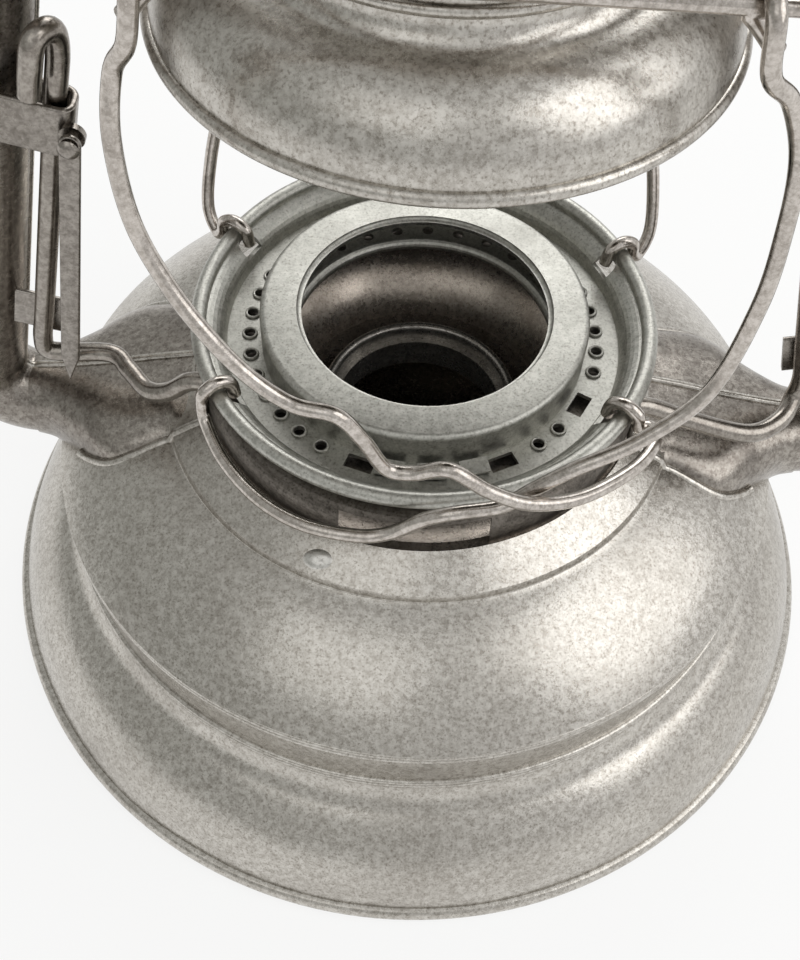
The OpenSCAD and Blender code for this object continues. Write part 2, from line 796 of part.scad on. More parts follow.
// A lug at the strap's end carries the catch leaf's pin
module catch_post() {
    reach = catch_gap + catch_t + catch_gap;
    head = 0.7;
    lug_r = catch_w * 0.6;
    color(TIN) tube_frame(guide_high_z)
        translate([-catch_in, -guide_front, 0]) rotate([90, 0, 0]) {
            cylinder(h = reach, r = catch_pin_r);
            translate([0, 0, reach]) cylinder(h = head, r = catch_pin_r + head);
            translate([0, 0, -guide_wall]) hull() {
                cylinder(h = guide_wall, r = lug_r);
                translate([catch_in - guide_tip + guide_wall / 2, -guide_h / 4, 0])
                    cube([guide_wall / 2, guide_h / 2, guide_wall]);
            }
        }
}

module guide_lower_left() { mirror([1, 0, 0]) guide_rest(guide_low_z); }
module guide_lower_right() { guide_rest(guide_low_z); }
module guide_upper_left() {
    mirror([1, 0, 0]) union() {
        guide(guide_high_z);
        catch_post();
    }
}
module guide_upper_right() { guide(guide_high_z); }

module lift_catch() {
    half = catch_w / 2;
    tip = 6;
    outline = concat(
        [for (a = [0:15:180]) half * [cos(a), sin(a)]],
        [[-half, tip - catch_len], [0, -catch_len], [half, tip - catch_len]]
    );
    color(PALE) mirror([1, 0, 0]) tube_frame(guide_high_z)
        translate([-catch_in, -guide_front - catch_gap, 0]) rotate([90, catch_tilt, 0]) difference() {
            linear_extrude(catch_t) polygon(outline);
            translate([0, 0, -over]) cylinder(h = catch_t + 2 * over, r = catch_pin_r + pin_gap);
        }
}

// Globe guards: each wire hooks over the plate's rim and over a cross wire's sloping end

// A guard's points: out of the rim as a share of the plate's radius, round from the
// front in degrees, and up as a share of the way to the hood's cross wires
function guard_spot(out, angle, rise) =
    rim_spot(out * plate_r, angle, plate_rim_z + rise * guard_rise);
function rim_hook(angle) = [
    rim_spot(-hook_r, angle, plate_rim_z - guard_wire_d * 0.55),
    rim_spot(-hook_r * 0.8, angle, plate_rim_z + hook_r * 0.6),
    rim_spot(0, angle, plate_rim_z + hook_r),
    rim_spot(hook_r * 0.8, angle, plate_rim_z + hook_r * 0.6),
    rim_spot(hook_r, angle, plate_rim_z - guard_wire_d * 0.27)
];
// Room between a guard's top hook and the hood's post
hook_room = 3 * run_gap;
// The top hook at the post on side x (-1 or 1) and front or rear y (-1 or 1)
function post_hook(x, y) =
    let (d = guard_wire_d, past = d + hook_room, clear = past / cos(45))
    [
        [x * (post_x + 0.73 * d), y * (cross_y + past + 0.27 * d), post_z - 1.36 * d],
        [x * (post_x + 0.18 * d), y * (cross_y + past), post_z + clear - 0.73 * d],
        [x * post_x, y * cross_y, post_z + clear + 0.14 * d],
        [x * (post_x - 0.09 * d), y * (cross_y - past), post_z + clear + 0.09 * d]
    ];

module guard_front_left() {
    route = [
        guard_spot(0.117, 60, -0.01),
        guard_spot(0.1755, 55, 0.012),
        guard_spot(0.1968, 46, 0.028),
        guard_spot(0.2048, 32, 0.06),
        guard_spot(0.1968, 21, 0.1),
        guard_spot(0.1702, 13, 0.15),
        guard_spot(0.133, 5.4, 0.205),
        guard_spot(0.1037, -1, 0.17),
        guard_spot(0.1011, -6.5, 0.175),
        guard_spot(0.1117, -11, 0.26),
        guard_spot(0.1303, -15.5, 0.325),
        guard_spot(0.1596, -23, 0.335),
        guard_spot(0.1915, -30, 0.38),
        guard_spot(0.234, -36, 0.46),
        guard_spot(0.266, -42, 0.55),
        guard_spot(0.2872, -47, 0.66),
        guard_spot(0.2766, -49, 0.8),
        guard_spot(0.2234, -50, 0.9)
    ];
    hook = post_hook(-1, -1);
    color(WIRE) wire(concat(rim_hook(front_hook_angle), route, hook), guard_wire_d, 3);
}

module guard_front_right() {
    route = [
        guard_spot(0.0851, -56, -0.05),
        guard_spot(0.117, -46, -0.064),
        guard_spot(0.1489, -34, -0.064),
        guard_spot(0.1596, -23, -0.06),
        guard_spot(0.1383, -12, -0.055),
        guard_spot(0.1144, -5, -0.04),
        guard_spot(0.1117, 2, 0.02),
        guard_spot(0.117, 8, 0.045),
        guard_spot(0.1223, 17, 0.052),
        guard_spot(0.1277, 23, 0.09),
        guard_spot(0.1702, 30, 0.15),
        guard_spot(0.2553, 40, 0.215),
        guard_spot(0.3457, 49, 0.32),
        guard_spot(0.3617, 54, 0.5),
        guard_spot(0.3351, 55.5, 0.66),
        guard_spot(0.2926, 55.5, 0.79),
        guard_spot(0.234, 52, 0.9)
    ];
    hook = post_hook(1, -1);
    color(WIRE) wire(concat(rim_hook(-front_hook_angle), route, hook), guard_wire_d, 3);
}

module rear_guard() {
    route = [
        guard_spot(0.1223, 117, -0.03),
        guard_spot(0.1915, 119, 0.02),
        guard_spot(0.2128, 123, 0.13),
        guard_spot(0.2021, 129, 0.32),
        guard_spot(0.2074, 133, 0.56),
        guard_spot(0.1968, 133, 0.78),
        guard_spot(0.1596, 132, 0.9)
    ];
    color(WIRE) wire(concat(rim_hook(rear_hook_angle), route, post_hook(1, 1)), guard_wire_d, 4);
}

module guard_rear_left() { mirror([1, 0, 0]) rear_guard(); }
module guard_rear_right() { rear_guard(); }

// Hood with its wires, bar and stem

// The hood's outline: a small cove under the neck, then the bell down to the edge
bell_bow = 2.4;
hood_cove = [2.4, 3];
hood_cove_bow = 0.7;
hood_shoulder = [neck_r + hood_cove.x, neck_z - hood_cove.y];
hood_line = concat(
    bow([neck_r, neck_z], hood_shoulder, -hood_cove_bow, 4),
    bow(hood_shoulder, [hood_r, hood_z + hood_edge_r * 0.6], bell_bow)
);

module hood_core() {
    turned(concat([[0, neck_top_z], [neck_r, neck_top_z]], hood_line, [[0, hood_z]]));
}

module hood() {
    color(TIN) union() {
        turned(sheet_of(hood_line, [-sheet, -0.4 * sheet]));
        rotate_extrude() translate([hood_r, hood_z]) circle(hood_edge_r, $fn = 32);
        rotate_extrude() translate([neck_r, neck_z + sheet]) circle(sheet, $fn = 32);
        turned([
            [neck_in_r, neck_z - sheet], [neck_r, neck_z - sheet],
            [neck_r, neck_top_z], [chimney_r + run_gap, neck_top_z],
            [chimney_r + run_gap, neck_top_z - sheet], [neck_in_r, neck_top_z - sheet]
        ]);
    }
}

module cross_wire() {
    color(WIRE) difference() {
        union() {
            translate([0, -cross_y, cross_z]) rotate([0, 90, 0])
                cylinder(h = 2 * cross_half, r = wire_r, center = true);
            for (side = [0, 1]) mirror([side, 0, 0]) translate([cross_half, -cross_y, cross_z]) {
                sphere(wire_r);
                rotate([0, 135, 0]) cylinder(h = post_drop * sqrt(2), r = wire_r);
                translate([post_drop, 0, -post_drop]) sphere(wire_r);
            }
        }
        hood_core();
    }
}

module hood_wire_front() { cross_wire(); }
module hood_wire_rear() { mirror([0, 1, 0]) cross_wire(); }

module hood_loop() {
    color(WIRE) difference() {
        union() {
            for (y = [-1, 1]) translate([neck_r, y * loop_half, loop_z]) rotate([0, 90, 0])
                cylinder(h = loop_reach - neck_r, r = wire_r);
            for (y = [-1, 1]) translate([loop_reach, y * loop_half, loop_z]) sphere(wire_r);
            translate([loop_reach, 0, loop_z]) rotate([90, 0, 0])
                cylinder(h = 2 * loop_half, r = wire_r, center = true);
        }
        hood_core();
    }
}

module hood_loop_left() { mirror([1, 0, 0]) hood_loop(); }
module hood_loop_right() { hood_loop(); }

module hood_bar() {
    color(DULL) difference() {
        intersection() {
            translate([-base_r, -bar_w / 2, bar_z]) cube([2 * base_r, bar_w, bar_h]);
            cylinder(h = cap_top_z, r = neck_in_r);
        }
        cylinder(h = cap_top_z, r = stem_d / 2);
    }
}

module hood_stem() {
    color(WIRE) union() {
        translate([0, 0, bar_z]) cylinder(h = eye_z - eye_r - bar_z, r = stem_d / 2);
        translate([0, 0, eye_z]) rotate([0, 90, 0])
            rotate_extrude() translate([eye_r, 0]) circle(sheet, $fn = 32);
    }
}

module lifting_ring() {
    color(WIRE) translate([0, 0, eye_z]) rotate([-pull_tilt, 0, 0])
        translate([0, 0, ring_pull_r]) rotate([90, 0, 0])
            rotate_extrude() translate([ring_pull_r, 0]) circle(pull_r, $fn = 32);
}

// Bail and ears

module bail_ear() {
    color(TIN) difference() {
        union() {
            translate([ear_x, -ear_half_y, bail_z - ear_drop])
                cube([ear_t, 2 * ear_half_y, ear_drop]);
            translate([ear_x, 0, bail_z]) rotate([0, 90, 0]) cylinder(h = ear_t, r = ear_half_y);
            translate([tube_x(bail_z - ear_drop), -ear_half_y, bail_z - ear_drop])
                cube([ear_x + ear_t - tube_x(bail_z - ear_drop), 2 * ear_half_y, 4]);
        }
        translate([ear_x - over, 0, bail_z]) rotate([0, 90, 0])
            cylinder(h = ear_t + 2 * over, r = bail_r + pin_gap);
        tube_frame(tube_low_z) cylinder(h = tube_run, r = tube_r);
    }
}

module bail_ear_left() { mirror([1, 0, 0]) bail_ear(); }
module bail_ear_right() { bail_ear(); }

module bail() {
    arch_z = bail_z + bail_leg;
    color(WIRE) union() {
        for (side = [0, 1]) mirror([side, 0, 0]) {
            translate([bail_pin_in, 0, bail_z]) rotate([0, 90, 0])
                cylinder(h = bail_half - bail_pin_in, r = bail_r);
            translate([bail_half, 0, bail_z]) sphere(bail_r);
            translate([bail_half, 0, bail_z]) cylinder(h = bail_leg, r = bail_r);
        }
        translate([0, 0, arch_z]) rotate([90, 0, 0]) rotate_extrude(angle = 180)
            translate([bail_half, 0]) circle(bail_r, $fn = 32);
    }
}

base_rim();
base_skirt();
tank_wall();
tank_bottom();
tank_top();
tank_well();
burner_collar();
air_chamber();
air_duct_left();
air_duct_right();
foot_bend_left();
foot_bend_right();
side_tube_left();
side_tube_right();
top_bend_left();
top_bend_right();
crown();
chimney();
chimney_cap();
filler_neck();
filler_cap();
cap_gasket();
globe_plate();
globe_ring();
lift_wire_left();
lift_wire_right();
guide_lower_left();
guide_lower_right();
guide_upper_left();
guide_upper_right();
lift_catch();
guard_front_left();
guard_front_right();
guard_rear_left();
guard_rear_right();
hood();
hood_wire_front();
hood_wire_rear();
hood_loop_left();
hood_loop_right();
hood_bar();
hood_stem();
lifting_ring();
bail_ear_left();
bail_ear_right();
bail();
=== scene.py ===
import math

import bmesh
import bpy
from mathutils import Matrix, Vector, noise


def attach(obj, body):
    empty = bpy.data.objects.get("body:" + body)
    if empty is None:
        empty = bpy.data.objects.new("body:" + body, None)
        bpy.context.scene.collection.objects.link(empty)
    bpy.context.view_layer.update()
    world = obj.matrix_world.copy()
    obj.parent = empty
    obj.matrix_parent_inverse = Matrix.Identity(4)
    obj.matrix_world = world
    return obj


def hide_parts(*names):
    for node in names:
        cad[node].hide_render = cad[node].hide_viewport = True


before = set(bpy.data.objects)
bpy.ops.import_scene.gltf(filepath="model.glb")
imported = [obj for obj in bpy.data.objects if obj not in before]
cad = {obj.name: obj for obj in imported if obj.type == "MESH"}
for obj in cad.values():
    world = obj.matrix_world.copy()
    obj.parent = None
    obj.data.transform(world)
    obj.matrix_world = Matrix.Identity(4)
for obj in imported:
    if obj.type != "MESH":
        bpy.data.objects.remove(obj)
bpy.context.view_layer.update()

# Sizes in millimetres, the same as the solids'. The side tubes lie along X and the front faces -Y.
MM = 0.001
SHEET = 0.8
GUARD_WIRE = 2.2
LIFT_ROD = 3.2
BAIL_WIRE = 2.8
RUN_GAP = 0.35
HOOK_ROOM = 3 * RUN_GAP

BASE_R = 81.5
RIM_D = 3.8
FLARE_W, FLARE_H = 10.6, 15.3
COVE_W, COVE_H = 4.0, 6.0
BAND_H = 13.7
SEAM_BEAD = 0.9
DOME_W, DOME_H = 20.1, 12.1
STEP_H = 1.5
SLOPE_W, SLOPE_H = 6.2, 3.5
WELL_DEPTH = 11.8
COLLAR_BORE_R, COLLAR_W, COLLAR_WALL = 15.0, 2.2, 1.0
COLLAR_H, COLLAR_ROLL, COLLAR_DROP = 4.0, 1.1, 5.0
CHAMBER_H = 6.2
PLATE_R = 37.6
PLATE_RIM_D = 2.6
DISH_H = 4.9
RING_R, RING_MOUTH_R, RING_H = 27.5, 20.6, 6.8
AIR_HOLE_D = 2.0
OUTER_HOLES = 40
PLATE_SLOTS = (-18, 27, 62)
SLOT_W, SLOT_L = 4.6, 2.6
# Degrees to each side of a slot and of the front that stay without air holes
SLOT_CLEAR, FRONT_CLEAR = 8, 12
BURR_R, BURR_RISE = 0.24, 0.2
# Folded tabs: thickness, height over the plate, tilt; two lie some degrees off a slot, one at the front
TAB_T, TAB_RISE, TAB_TILT = 0.6, 0.9, math.radians(12)
TAB_STEP, FRONT_TAB = 9.4, 4.5
LIP_H = 1.2

TUBE_D = 15.0
TUBE_LEAN = math.radians(14.4993)
ELBOW_R, TOP_BEND_R = 9.0, 22.0
ELBOW_X = 69.6
TUBE_TOP_Z = 205.0
DUCT_RISE = 4.0
PIPE_SEAM, BOOT_LIP = 1.4, 1.9

ROD_FRONT, ROD_STAND = 6.0, 11.8
GUIDE_LOW_Z, GUIDE_HIGH_Z = 71.0, 112.5
GUIDE_H, GUIDE_WALL = 8.0, 1.0
HAIRPIN_H = 8.0
# How far inside the tube the straps' ends and the lower guides' ends lie
STRAP_NEAR_END, STRAP_FAR_END, REST_END = 3.6, 6.4, 5.6
CATCH_LEN, CATCH_W, CATCH_T, CATCH_PIN_D = 51.0, 3.0, 0.9, 1.6
CATCH_GAP = 0.8
CATCH_TILT = math.radians(3)

HOOD_R, HOOD_Z, HOOD_EDGE_D = 37.2, 127.0, 2.0
HOOD_FLARE_H, HOOD_NECK_H = 14.0, 15.0
CHIMNEY_R = 23.3
CROSS_HALF, CROSS_RISE, POST_DROP = 28.8, 18.0, 5.0
LOOP_HALF = 4.0
LIFT_TRAVEL = 15.0
CAP_TOP_Z, CAP_R, CAP_H = 243.0, 28.0, 12.0
PULL_RING_R, PULL_RING_D = 10.0, 2.0
EYE_R = 2.2
BAIL_Z, BAIL_HALF, BAIL_LEG = 172.0, 62.4, 40.0
BAIL_PIN_IN = 57.85
# Degrees from the front at which the guards hook over the plate's rim
FRONT_HOOK, REAR_HOOK = 58.5, 116.0

# Radii and heights that follow from them
rim_half = RIM_D / 2
rim_flat = rim_half * 0.52
rim_h = 2 * math.sqrt(rim_half ** 2 - rim_flat ** 2)
rim_mid_r = BASE_R - rim_half
skirt_r = rim_mid_r + SHEET / 2
flare_r, flare_z = skirt_r - FLARE_W, rim_h + FLARE_H
band_r, band_z = flare_r - COVE_W, flare_z + COVE_H
dome_z = band_z + BAND_H
step_r, step_z = band_r - DOME_W, dome_z + DOME_H
slope_r = step_r - STEP_H / 2
ridge_r, ridge_z = slope_r - SLOPE_W, step_z + STEP_H + SLOPE_H
well_z = ridge_z - WELL_DEPTH
collar_r = COLLAR_BORE_R + COLLAR_W
chamber_z = ridge_z + CHAMBER_H
plate_z = chamber_z + RUN_GAP + LIP_H + SHEET
plate_rim_z = plate_z + DISH_H
plate_rim_r = PLATE_RIM_D / 2
tube_r = TUBE_D / 2
duct_z = dome_z + DUCT_RISE
elbow_z = duct_z + ELBOW_R
tube_low_x = ELBOW_X + ELBOW_R * math.cos(TUBE_LEAN)
tube_low_z = elbow_z + ELBOW_R * math.sin(TUBE_LEAN)
top_bend_z = TUBE_TOP_Z - TOP_BEND_R
tube_high_z = top_bend_z + TOP_BEND_R * math.sin(TUBE_LEAN)
rod_r = LIFT_ROD / 2
rod_in = ROD_STAND * math.cos(TUBE_LEAN)
slot_half = rod_r + RUN_GAP
guide_tip = rod_in + slot_half + GUIDE_WALL
guide_front = ROD_FRONT + slot_half + GUIDE_WALL
neck_r = CHIMNEY_R + 2 * RUN_GAP + 2 * SHEET
neck_z = HOOD_Z + HOOD_FLARE_H
neck_top_z = neck_z + HOOD_NECK_H
guard_r = GUARD_WIRE / 2
cross_y, cross_z = neck_r + guard_r, HOOD_Z + CROSS_RISE
post_x, post_z = CROSS_HALF + POST_DROP / 2, cross_z - POST_DROP / 2
guard_rise = post_z - plate_rim_z
hook_r = plate_rim_r + RUN_GAP + guard_r


def tube_x(z):
    """Distance of the right tube's centre line from the axis at a height."""
    return tube_low_x - (z - tube_low_z) * math.tan(TUBE_LEAN)


top_bend_x = tube_x(tube_high_z) - TOP_BEND_R * math.cos(TUBE_LEAN)


# Outlines and turned pieces

def bow(p, q, sag, steps=14):
    """Points along an arc from p to q that bows out to the left by sag."""
    p, q = Vector(p), Vector(q)
    chord = (q - p).length
    along = (q - p) / chord
    left = Vector((-along.y, along.x)) * math.copysign(1, sag)
    half = 2 * math.atan(2 * abs(sag) / chord)
    radius = chord / 2 / math.sin(half)
    middle = (p + q) / 2 + left * (abs(sag) - radius)
    turns = [half * (2 * k / steps - 1) for k in range(steps + 1)]
    return [middle + radius * (math.sin(t) * along + math.cos(t) * left) for t in turns]


def sheet_of(outline, thickness=SHEET):
    """A closed outline: the given line and the same line moved square to itself, to its right."""
    line = [Vector(p) for p in outline]
    line = [p for k, p in enumerate(line) if k == 0 or (p - line[k - 1]).length > 1e-4]
    inner = []
    for k, p in enumerate(line):
        along = line[min(k + 1, len(line) - 1)] - line[max(k - 1, 0)]
        inner.append(p + Vector((along.y, -along.x)).normalized() * thickness)
    return line + inner[::-1]


def round_section(r, z, radius, steps=20):
    """A full circle round [r, z]."""
    turns = [2 * math.pi * k / steps for k in range(steps)]
    return [Vector((r + radius * math.cos(t), z + radius * math.sin(t))) for t in turns]


DENT_SIZE = 26.0
# Radius at which a turned piece without a bore closes on its axis
AXIS_R = 0.02


def dented(point, depth):
    """A point of the sheet, pushed in or out a little as on worn metal."""
    return point + Vector((point.x, point.y, 0)).normalized() * depth * noise.noise(point / DENT_SIZE)


def smooth_mesh(mesh, sharp_degrees=38):
    """Merges doubles, turns the faces outwards and shades smooth apart from sharp edges."""
    shape = bmesh.new()
    shape.from_mesh(mesh)
    bmesh.ops.remove_doubles(shape, verts=shape.verts, dist=1e-6)
    bmesh.ops.recalc_face_normals(shape, faces=shape.faces)
    shape.to_mesh(mesh)
    shape.free()
    mesh.shade_smooth()
    mesh.set_sharp_from_angle(angle=math.radians(sharp_degrees))
    return mesh


def mesh_of(name, points, faces, edges=()):
    mesh = bpy.data.meshes.new(name)
    mesh.from_pydata([Vector(p) * MM for p in points], edges, faces)
    return mesh


def rings_mesh(name, rings, close_along=False):
    """A skin over rings of points that all have the same count, closed at its ends."""
    count = len(rings[0])
    faces = []
    for i in range(len(rings) if close_along else len(rings) - 1):
        j = (i + 1) % len(rings)
        for k in range(count):
            n = (k + 1) % count
            faces.append((i * count + k, i * count + n, j * count + n, j * count + k))
    if not close_along:
        last = (len(rings) - 1) * count
        faces += [tuple(range(count)), tuple(range(last, last + count))]
    return mesh_of(name, [p for ring in rings for p in ring], faces)


def lathe(name, outline, segments=192, dent=0.0):
    """A turned piece from a closed outline of (radius, height) points."""
    turns = [2 * math.pi * k / segments for k in range(segments)]
    rings = [
        [dented(Vector((p[0] * math.cos(a), p[0] * math.sin(a), p[1])), dent) for a in turns]
        for p in outline
    ]
    return smooth_mesh(rings_mesh(name, rings, close_along=True))


# Materials

def linear(hex_colour):
    """An sRGB hex value as linear red, green, blue, alpha."""
    parts = [int(hex_colour[i:i + 2], 16) / 255 for i in (1, 3, 5)]
    return [c / 12.92 if c <= 0.04045 else ((c + 0.055) / 1.055) ** 2.4 for c in parts] + [1]


def add(tree, kind, inputs=None, **settings):
    """Adds a node with its settings, and sets or links its inputs."""
    made = tree.nodes.new(kind)
    for key, value in settings.items():
        setattr(made, key, value)
    for key, value in (inputs or {}).items():
        if isinstance(value, bpy.types.NodeSocket):
            tree.links.new(value, made.inputs[key])
        else:
            made.inputs[key].default_value = value
    return made


def per_mm(size):
    """The scale of a noise whose features are that many millimetres across."""
    return 1 / (size * MM)


# Widths of the grain in the old plating
MOTTLE_MM, SPECK_MM, SCRATCH_MM = 1.1, 0.4, 1.1


def weathered(name, light, dark, stain, rough, stain_share, cloud_mm=22, speck_share=0.7,
              relief=0.035, shine=1.0, low_dirt_and_shade=None):
    """Old plated sheet steel: a mottled satin metal with clouds of patina, fine dark and
    pale specks and a few long scratches; given two heights, settled dirt and painted shade darken it between
    them."""
    metal = bpy.data.materials.new(name)
    metal.use_nodes = True
    tree = metal.node_tree
    shader = tree.nodes["Principled BSDF"]
    place = add(tree, "ShaderNodeTexCoord").outputs["Object"]
    cloud = add(tree, "ShaderNodeTexNoise", {"Vector": place, "Scale": per_mm(cloud_mm), "Detail": 4,
                                             "Roughness": 0.62, "Distortion": 0.4}).outputs["Fac"]
    mottle = add(tree, "ShaderNodeTexNoise", {"Vector": place, "Scale": per_mm(MOTTLE_MM), "Detail": 6,
                                              "Roughness": 0.7}).outputs["Fac"]
    speck = add(tree, "ShaderNodeTexNoise", {"Vector": place, "Scale": per_mm(SPECK_MM), "Detail": 3,
                                             "Roughness": 0.6}).outputs["Fac"]
    drawn = add(tree, "ShaderNodeMapping", {"Vector": place, "Rotation": (0.4, 0.2, 0.7),
                                            "Scale": (1.0, 0.035, 0.5)}).outputs["Vector"]
    scratch = add(tree, "ShaderNodeTexNoise", {"Vector": drawn, "Scale": per_mm(SCRATCH_MM), "Detail": 2,
                                               "Roughness": 0.5}).outputs["Fac"]
    worn = add(tree, "ShaderNodeMapRange", {"Value": mottle, "From Min": 0.38, "From Max": 0.62})
    colour = add(tree, "ShaderNodeMix", {0: worn.outputs["Result"], 6: linear(dark), 7: linear(light)},
                 data_type="RGBA").outputs[2]
    # Each layer: what it follows, where it begins, where it is full, its share and its tone
    layers = [(cloud, 0.46, 0.72, stain_share, stain), (speck, 0.55, 0.66, speck_share, stain),
              (speck, 0.45, 0.34, 0.5, light), (scratch, 0.68, 0.74, 0.4, light)]
    # Darker low down, between two heights: settled dirt and painted shade of a recess
    if low_dirt_and_shade:
        height = add(tree, "ShaderNodeSeparateXYZ", {"Vector": place}).outputs["Z"]
        layers.append((height, low_dirt_and_shade[1] * MM, low_dirt_and_shade[0] * MM, low_dirt_and_shade[2], stain))
    for value, none_at, full_at, share, tone in layers:
        amount = add(tree, "ShaderNodeMapRange", {"Value": value, "From Min": none_at, "From Max": full_at,
                                                  "To Max": share})
        colour = add(tree, "ShaderNodeMix", {0: amount.outputs["Result"], 6: colour, 7: linear(tone)},
                     data_type="RGBA").outputs[2]
    tree.links.new(colour, shader.inputs["Base Color"])
    uneven = add(tree, "ShaderNodeMath", {0: mottle, 1: cloud}, operation="ADD").outputs[0]
    sheen = add(tree, "ShaderNodeMapRange", {"Value": uneven, "From Min": 0.7, "From Max": 1.3,
                                             "To Min": rough[0], "To Max": rough[1]})
    tree.links.new(sheen.outputs["Result"], shader.inputs["Roughness"])
    raised = add(tree, "ShaderNodeMath", {0: speck, 1: mottle}, operation="ADD").outputs[0]
    bump = add(tree, "ShaderNodeBump", {"Height": raised, "Strength": 0.5, "Distance": relief * MM})
    tree.links.new(bump.outputs["Normal"], shader.inputs["Normal"])
    shader.inputs["Metallic"].default_value = shine
    return metal


# Tin-plated sheet steel, pressed: satin, light grey, speckled by age
tin_plate = weathered("tin_plate_pressed", "#d2cec7", "#aba69e", "#878077", rough=(0.2, 0.36),
                      stain_share=0.28)
# The same sheet on the tubes in a darker grey: partly a duller sheet, partly painted shade
dulled_and_shaded_plate = weathered("tin_plate_dulled_and_shaded", "#b0aaa2", "#827b74", "#57504a", rough=(0.19, 0.34),
                          stain_share=0.6, cloud_mm=14, speck_share=0.5)
# The straps and the catch leaf: darker bare steel, smooth from use
strap_steel = weathered("strap_steel_bare", "#a19b94", "#7d7771", "#595349", rough=(0.18, 0.32),
                        stain_share=0.45, cloud_mm=9, speck_share=0.35)
# The lift rods: thick bare wire, darker than the guards
rod_steel = weathered("lift_rod_bare", "#aaa49c", "#857e77", "#5f5851", rough=(0.16, 0.3),
                      stain_share=0.4, cloud_mm=9, speck_share=0.3, relief=0.02)
# The burner's well: brownish-grey smooth metal, lighter than the sooted sheet as painted light falling into
# the well
well_plate_with_painted_light = weathered("sheet_steel_browned", "#b8aea3", "#948b81", "#685f57", rough=(0.2, 0.38),
                       stain_share=0.5, cloud_mm=12, shine=0.85)
# The collar: turned steel, darker and smoother than the well
collar_steel = weathered("collar_steel_turned", "#b3afa9", "#8e8a84", "#625e58", rough=(0.2, 0.34),
                         stain_share=0.4, cloud_mm=9, shine=0.8)
# Inner sheet that fumes have darkened: brown and dull
sooted_plate = weathered("sheet_steel_sooted", "#7f7972", "#5d5852", "#3d3833", rough=(0.34, 0.55),
                         stain_share=0.8, cloud_mm=12)
# Zinc-coated sheet, pale and dry, darker low in the dish: settled dirt and painted shade of the recess
zinc_plate = weathered("zinc_plate_pale", "#c6c5be", "#a7a69f", "#85837c", rough=(0.36, 0.52),
                       stain_share=0.28, low_dirt_and_shade=(plate_z - 0.5, plate_z + 4.5, 0.12))
# Drawn steel wire, bright where hands have polished it
drawn_wire = weathered("steel_wire_drawn", "#d2cbc4", "#a9a29a", "#7d756d", rough=(0.13, 0.26),
                       stain_share=0.35, cloud_mm=9, speck_share=0.25, relief=0.02)
# Tin-lead solder: soft grey, smoother than the sheet
solder = weathered("solder_run", "#dcdad5", "#bdbbb5", "#98958e", rough=(0.25, 0.4), stain_share=0.25)
# Pressed sealing board: dark, no shine
sealing_board = bpy.data.materials.new("sealing_board")
sealing_board.use_nodes = True
board = sealing_board.node_tree.nodes["Principled BSDF"]
board_place = add(sealing_board.node_tree, "ShaderNodeTexCoord").outputs["Object"]
board_grain = add(sealing_board.node_tree, "ShaderNodeTexNoise",
                  {"Vector": board_place, "Scale": per_mm(1.2), "Detail": 5}).outputs["Fac"]
board_tone = add(sealing_board.node_tree, "ShaderNodeMix",
                 {0: board_grain, 6: linear("#2d2722"), 7: linear("#4a4037")}, data_type="RGBA").outputs[2]
sealing_board.node_tree.links.new(board_tone, board.inputs["Base Color"])
board.inputs["Roughness"].default_value = 0.8


def piece(name, mesh, body, metal, *stands_for):
    """Puts a mesh into the scene as a piece that rides a body and may stand for solids."""
    mesh.materials.clear()
    mesh.materials.append(metal)
    made = bpy.data.objects.new(name, mesh)
    bpy.context.scene.collection.objects.link(made)
    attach(made, body)
    if stands_for:
        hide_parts(*stands_for)
    return made


def finish_solid(node, metal):
    """A solid that keeps its shape and gets its finish."""
    mesh = cad[node].data
    mesh.materials.clear()
    mesh.materials.append(metal)


# Geometry Nodes: a section swept along a path, and small pieces repeated on points

def sweep_tree(name, section):
    """A tree that sweeps a round wire or a flat strap along the path's edges."""
    tree = bpy.data.node_groups.new(name, "GeometryNodeTree")
    for label, kind in (("Path", "NodeSocketGeometry"), ("Width", "NodeSocketFloat"),
                        ("Thickness", "NodeSocketFloat"), ("Sides", "NodeSocketInt"),
                        ("Metal", "NodeSocketMaterial")):
        tree.interface.new_socket(label, in_out="INPUT", socket_type=kind)
    tree.interface.new_socket("Swept", in_out="OUTPUT", socket_type="NodeSocketGeometry")
    given = tree.nodes.new("NodeGroupInput").outputs
    path = add(tree, "GeometryNodeMeshToCurve", {"Mesh": given["Path"]}).outputs["Curve"]
    if section == "round":
        radius = add(tree, "ShaderNodeMath", {0: given["Width"], 1: 0.5}, operation="MULTIPLY").outputs[0]
        outline = add(tree, "GeometryNodeCurvePrimitiveCircle",
                      {"Resolution": given["Sides"], "Radius": radius}).outputs["Curve"]
    else:
        path = add(tree, "GeometryNodeSetCurveNormal", {"Curve": path}, mode="Z_UP").outputs["Curve"]
        plain = add(tree, "GeometryNodeCurvePrimitiveQuadrilateral",
                    {"Width": given["Thickness"], "Height": given["Width"]}).outputs["Curve"]
        corner = add(tree, "ShaderNodeMath", {0: given["Thickness"], 1: 0.4}, operation="MULTIPLY").outputs[0]
        rounded = add(tree, "GeometryNodeFilletCurve",
                      {"Curve": plain, "Radius": corner, "Count": given["Sides"]}, mode="POLY")
        outline = rounded.outputs["Curve"]
    skin = add(tree, "GeometryNodeCurveToMesh", {"Curve": path, "Profile Curve": outline,
                                                 "Fill Caps": True}).outputs["Mesh"]
    whole = add(tree, "GeometryNodeRealizeInstances", {"Geometry": skin}).outputs["Geometry"]
    dressed = add(tree, "GeometryNodeSetMaterial", {"Geometry": whole,
                                                    "Material": given["Metal"]}).outputs["Geometry"]
    add(tree, "NodeGroupOutput", {"Swept": dressed})
    return tree


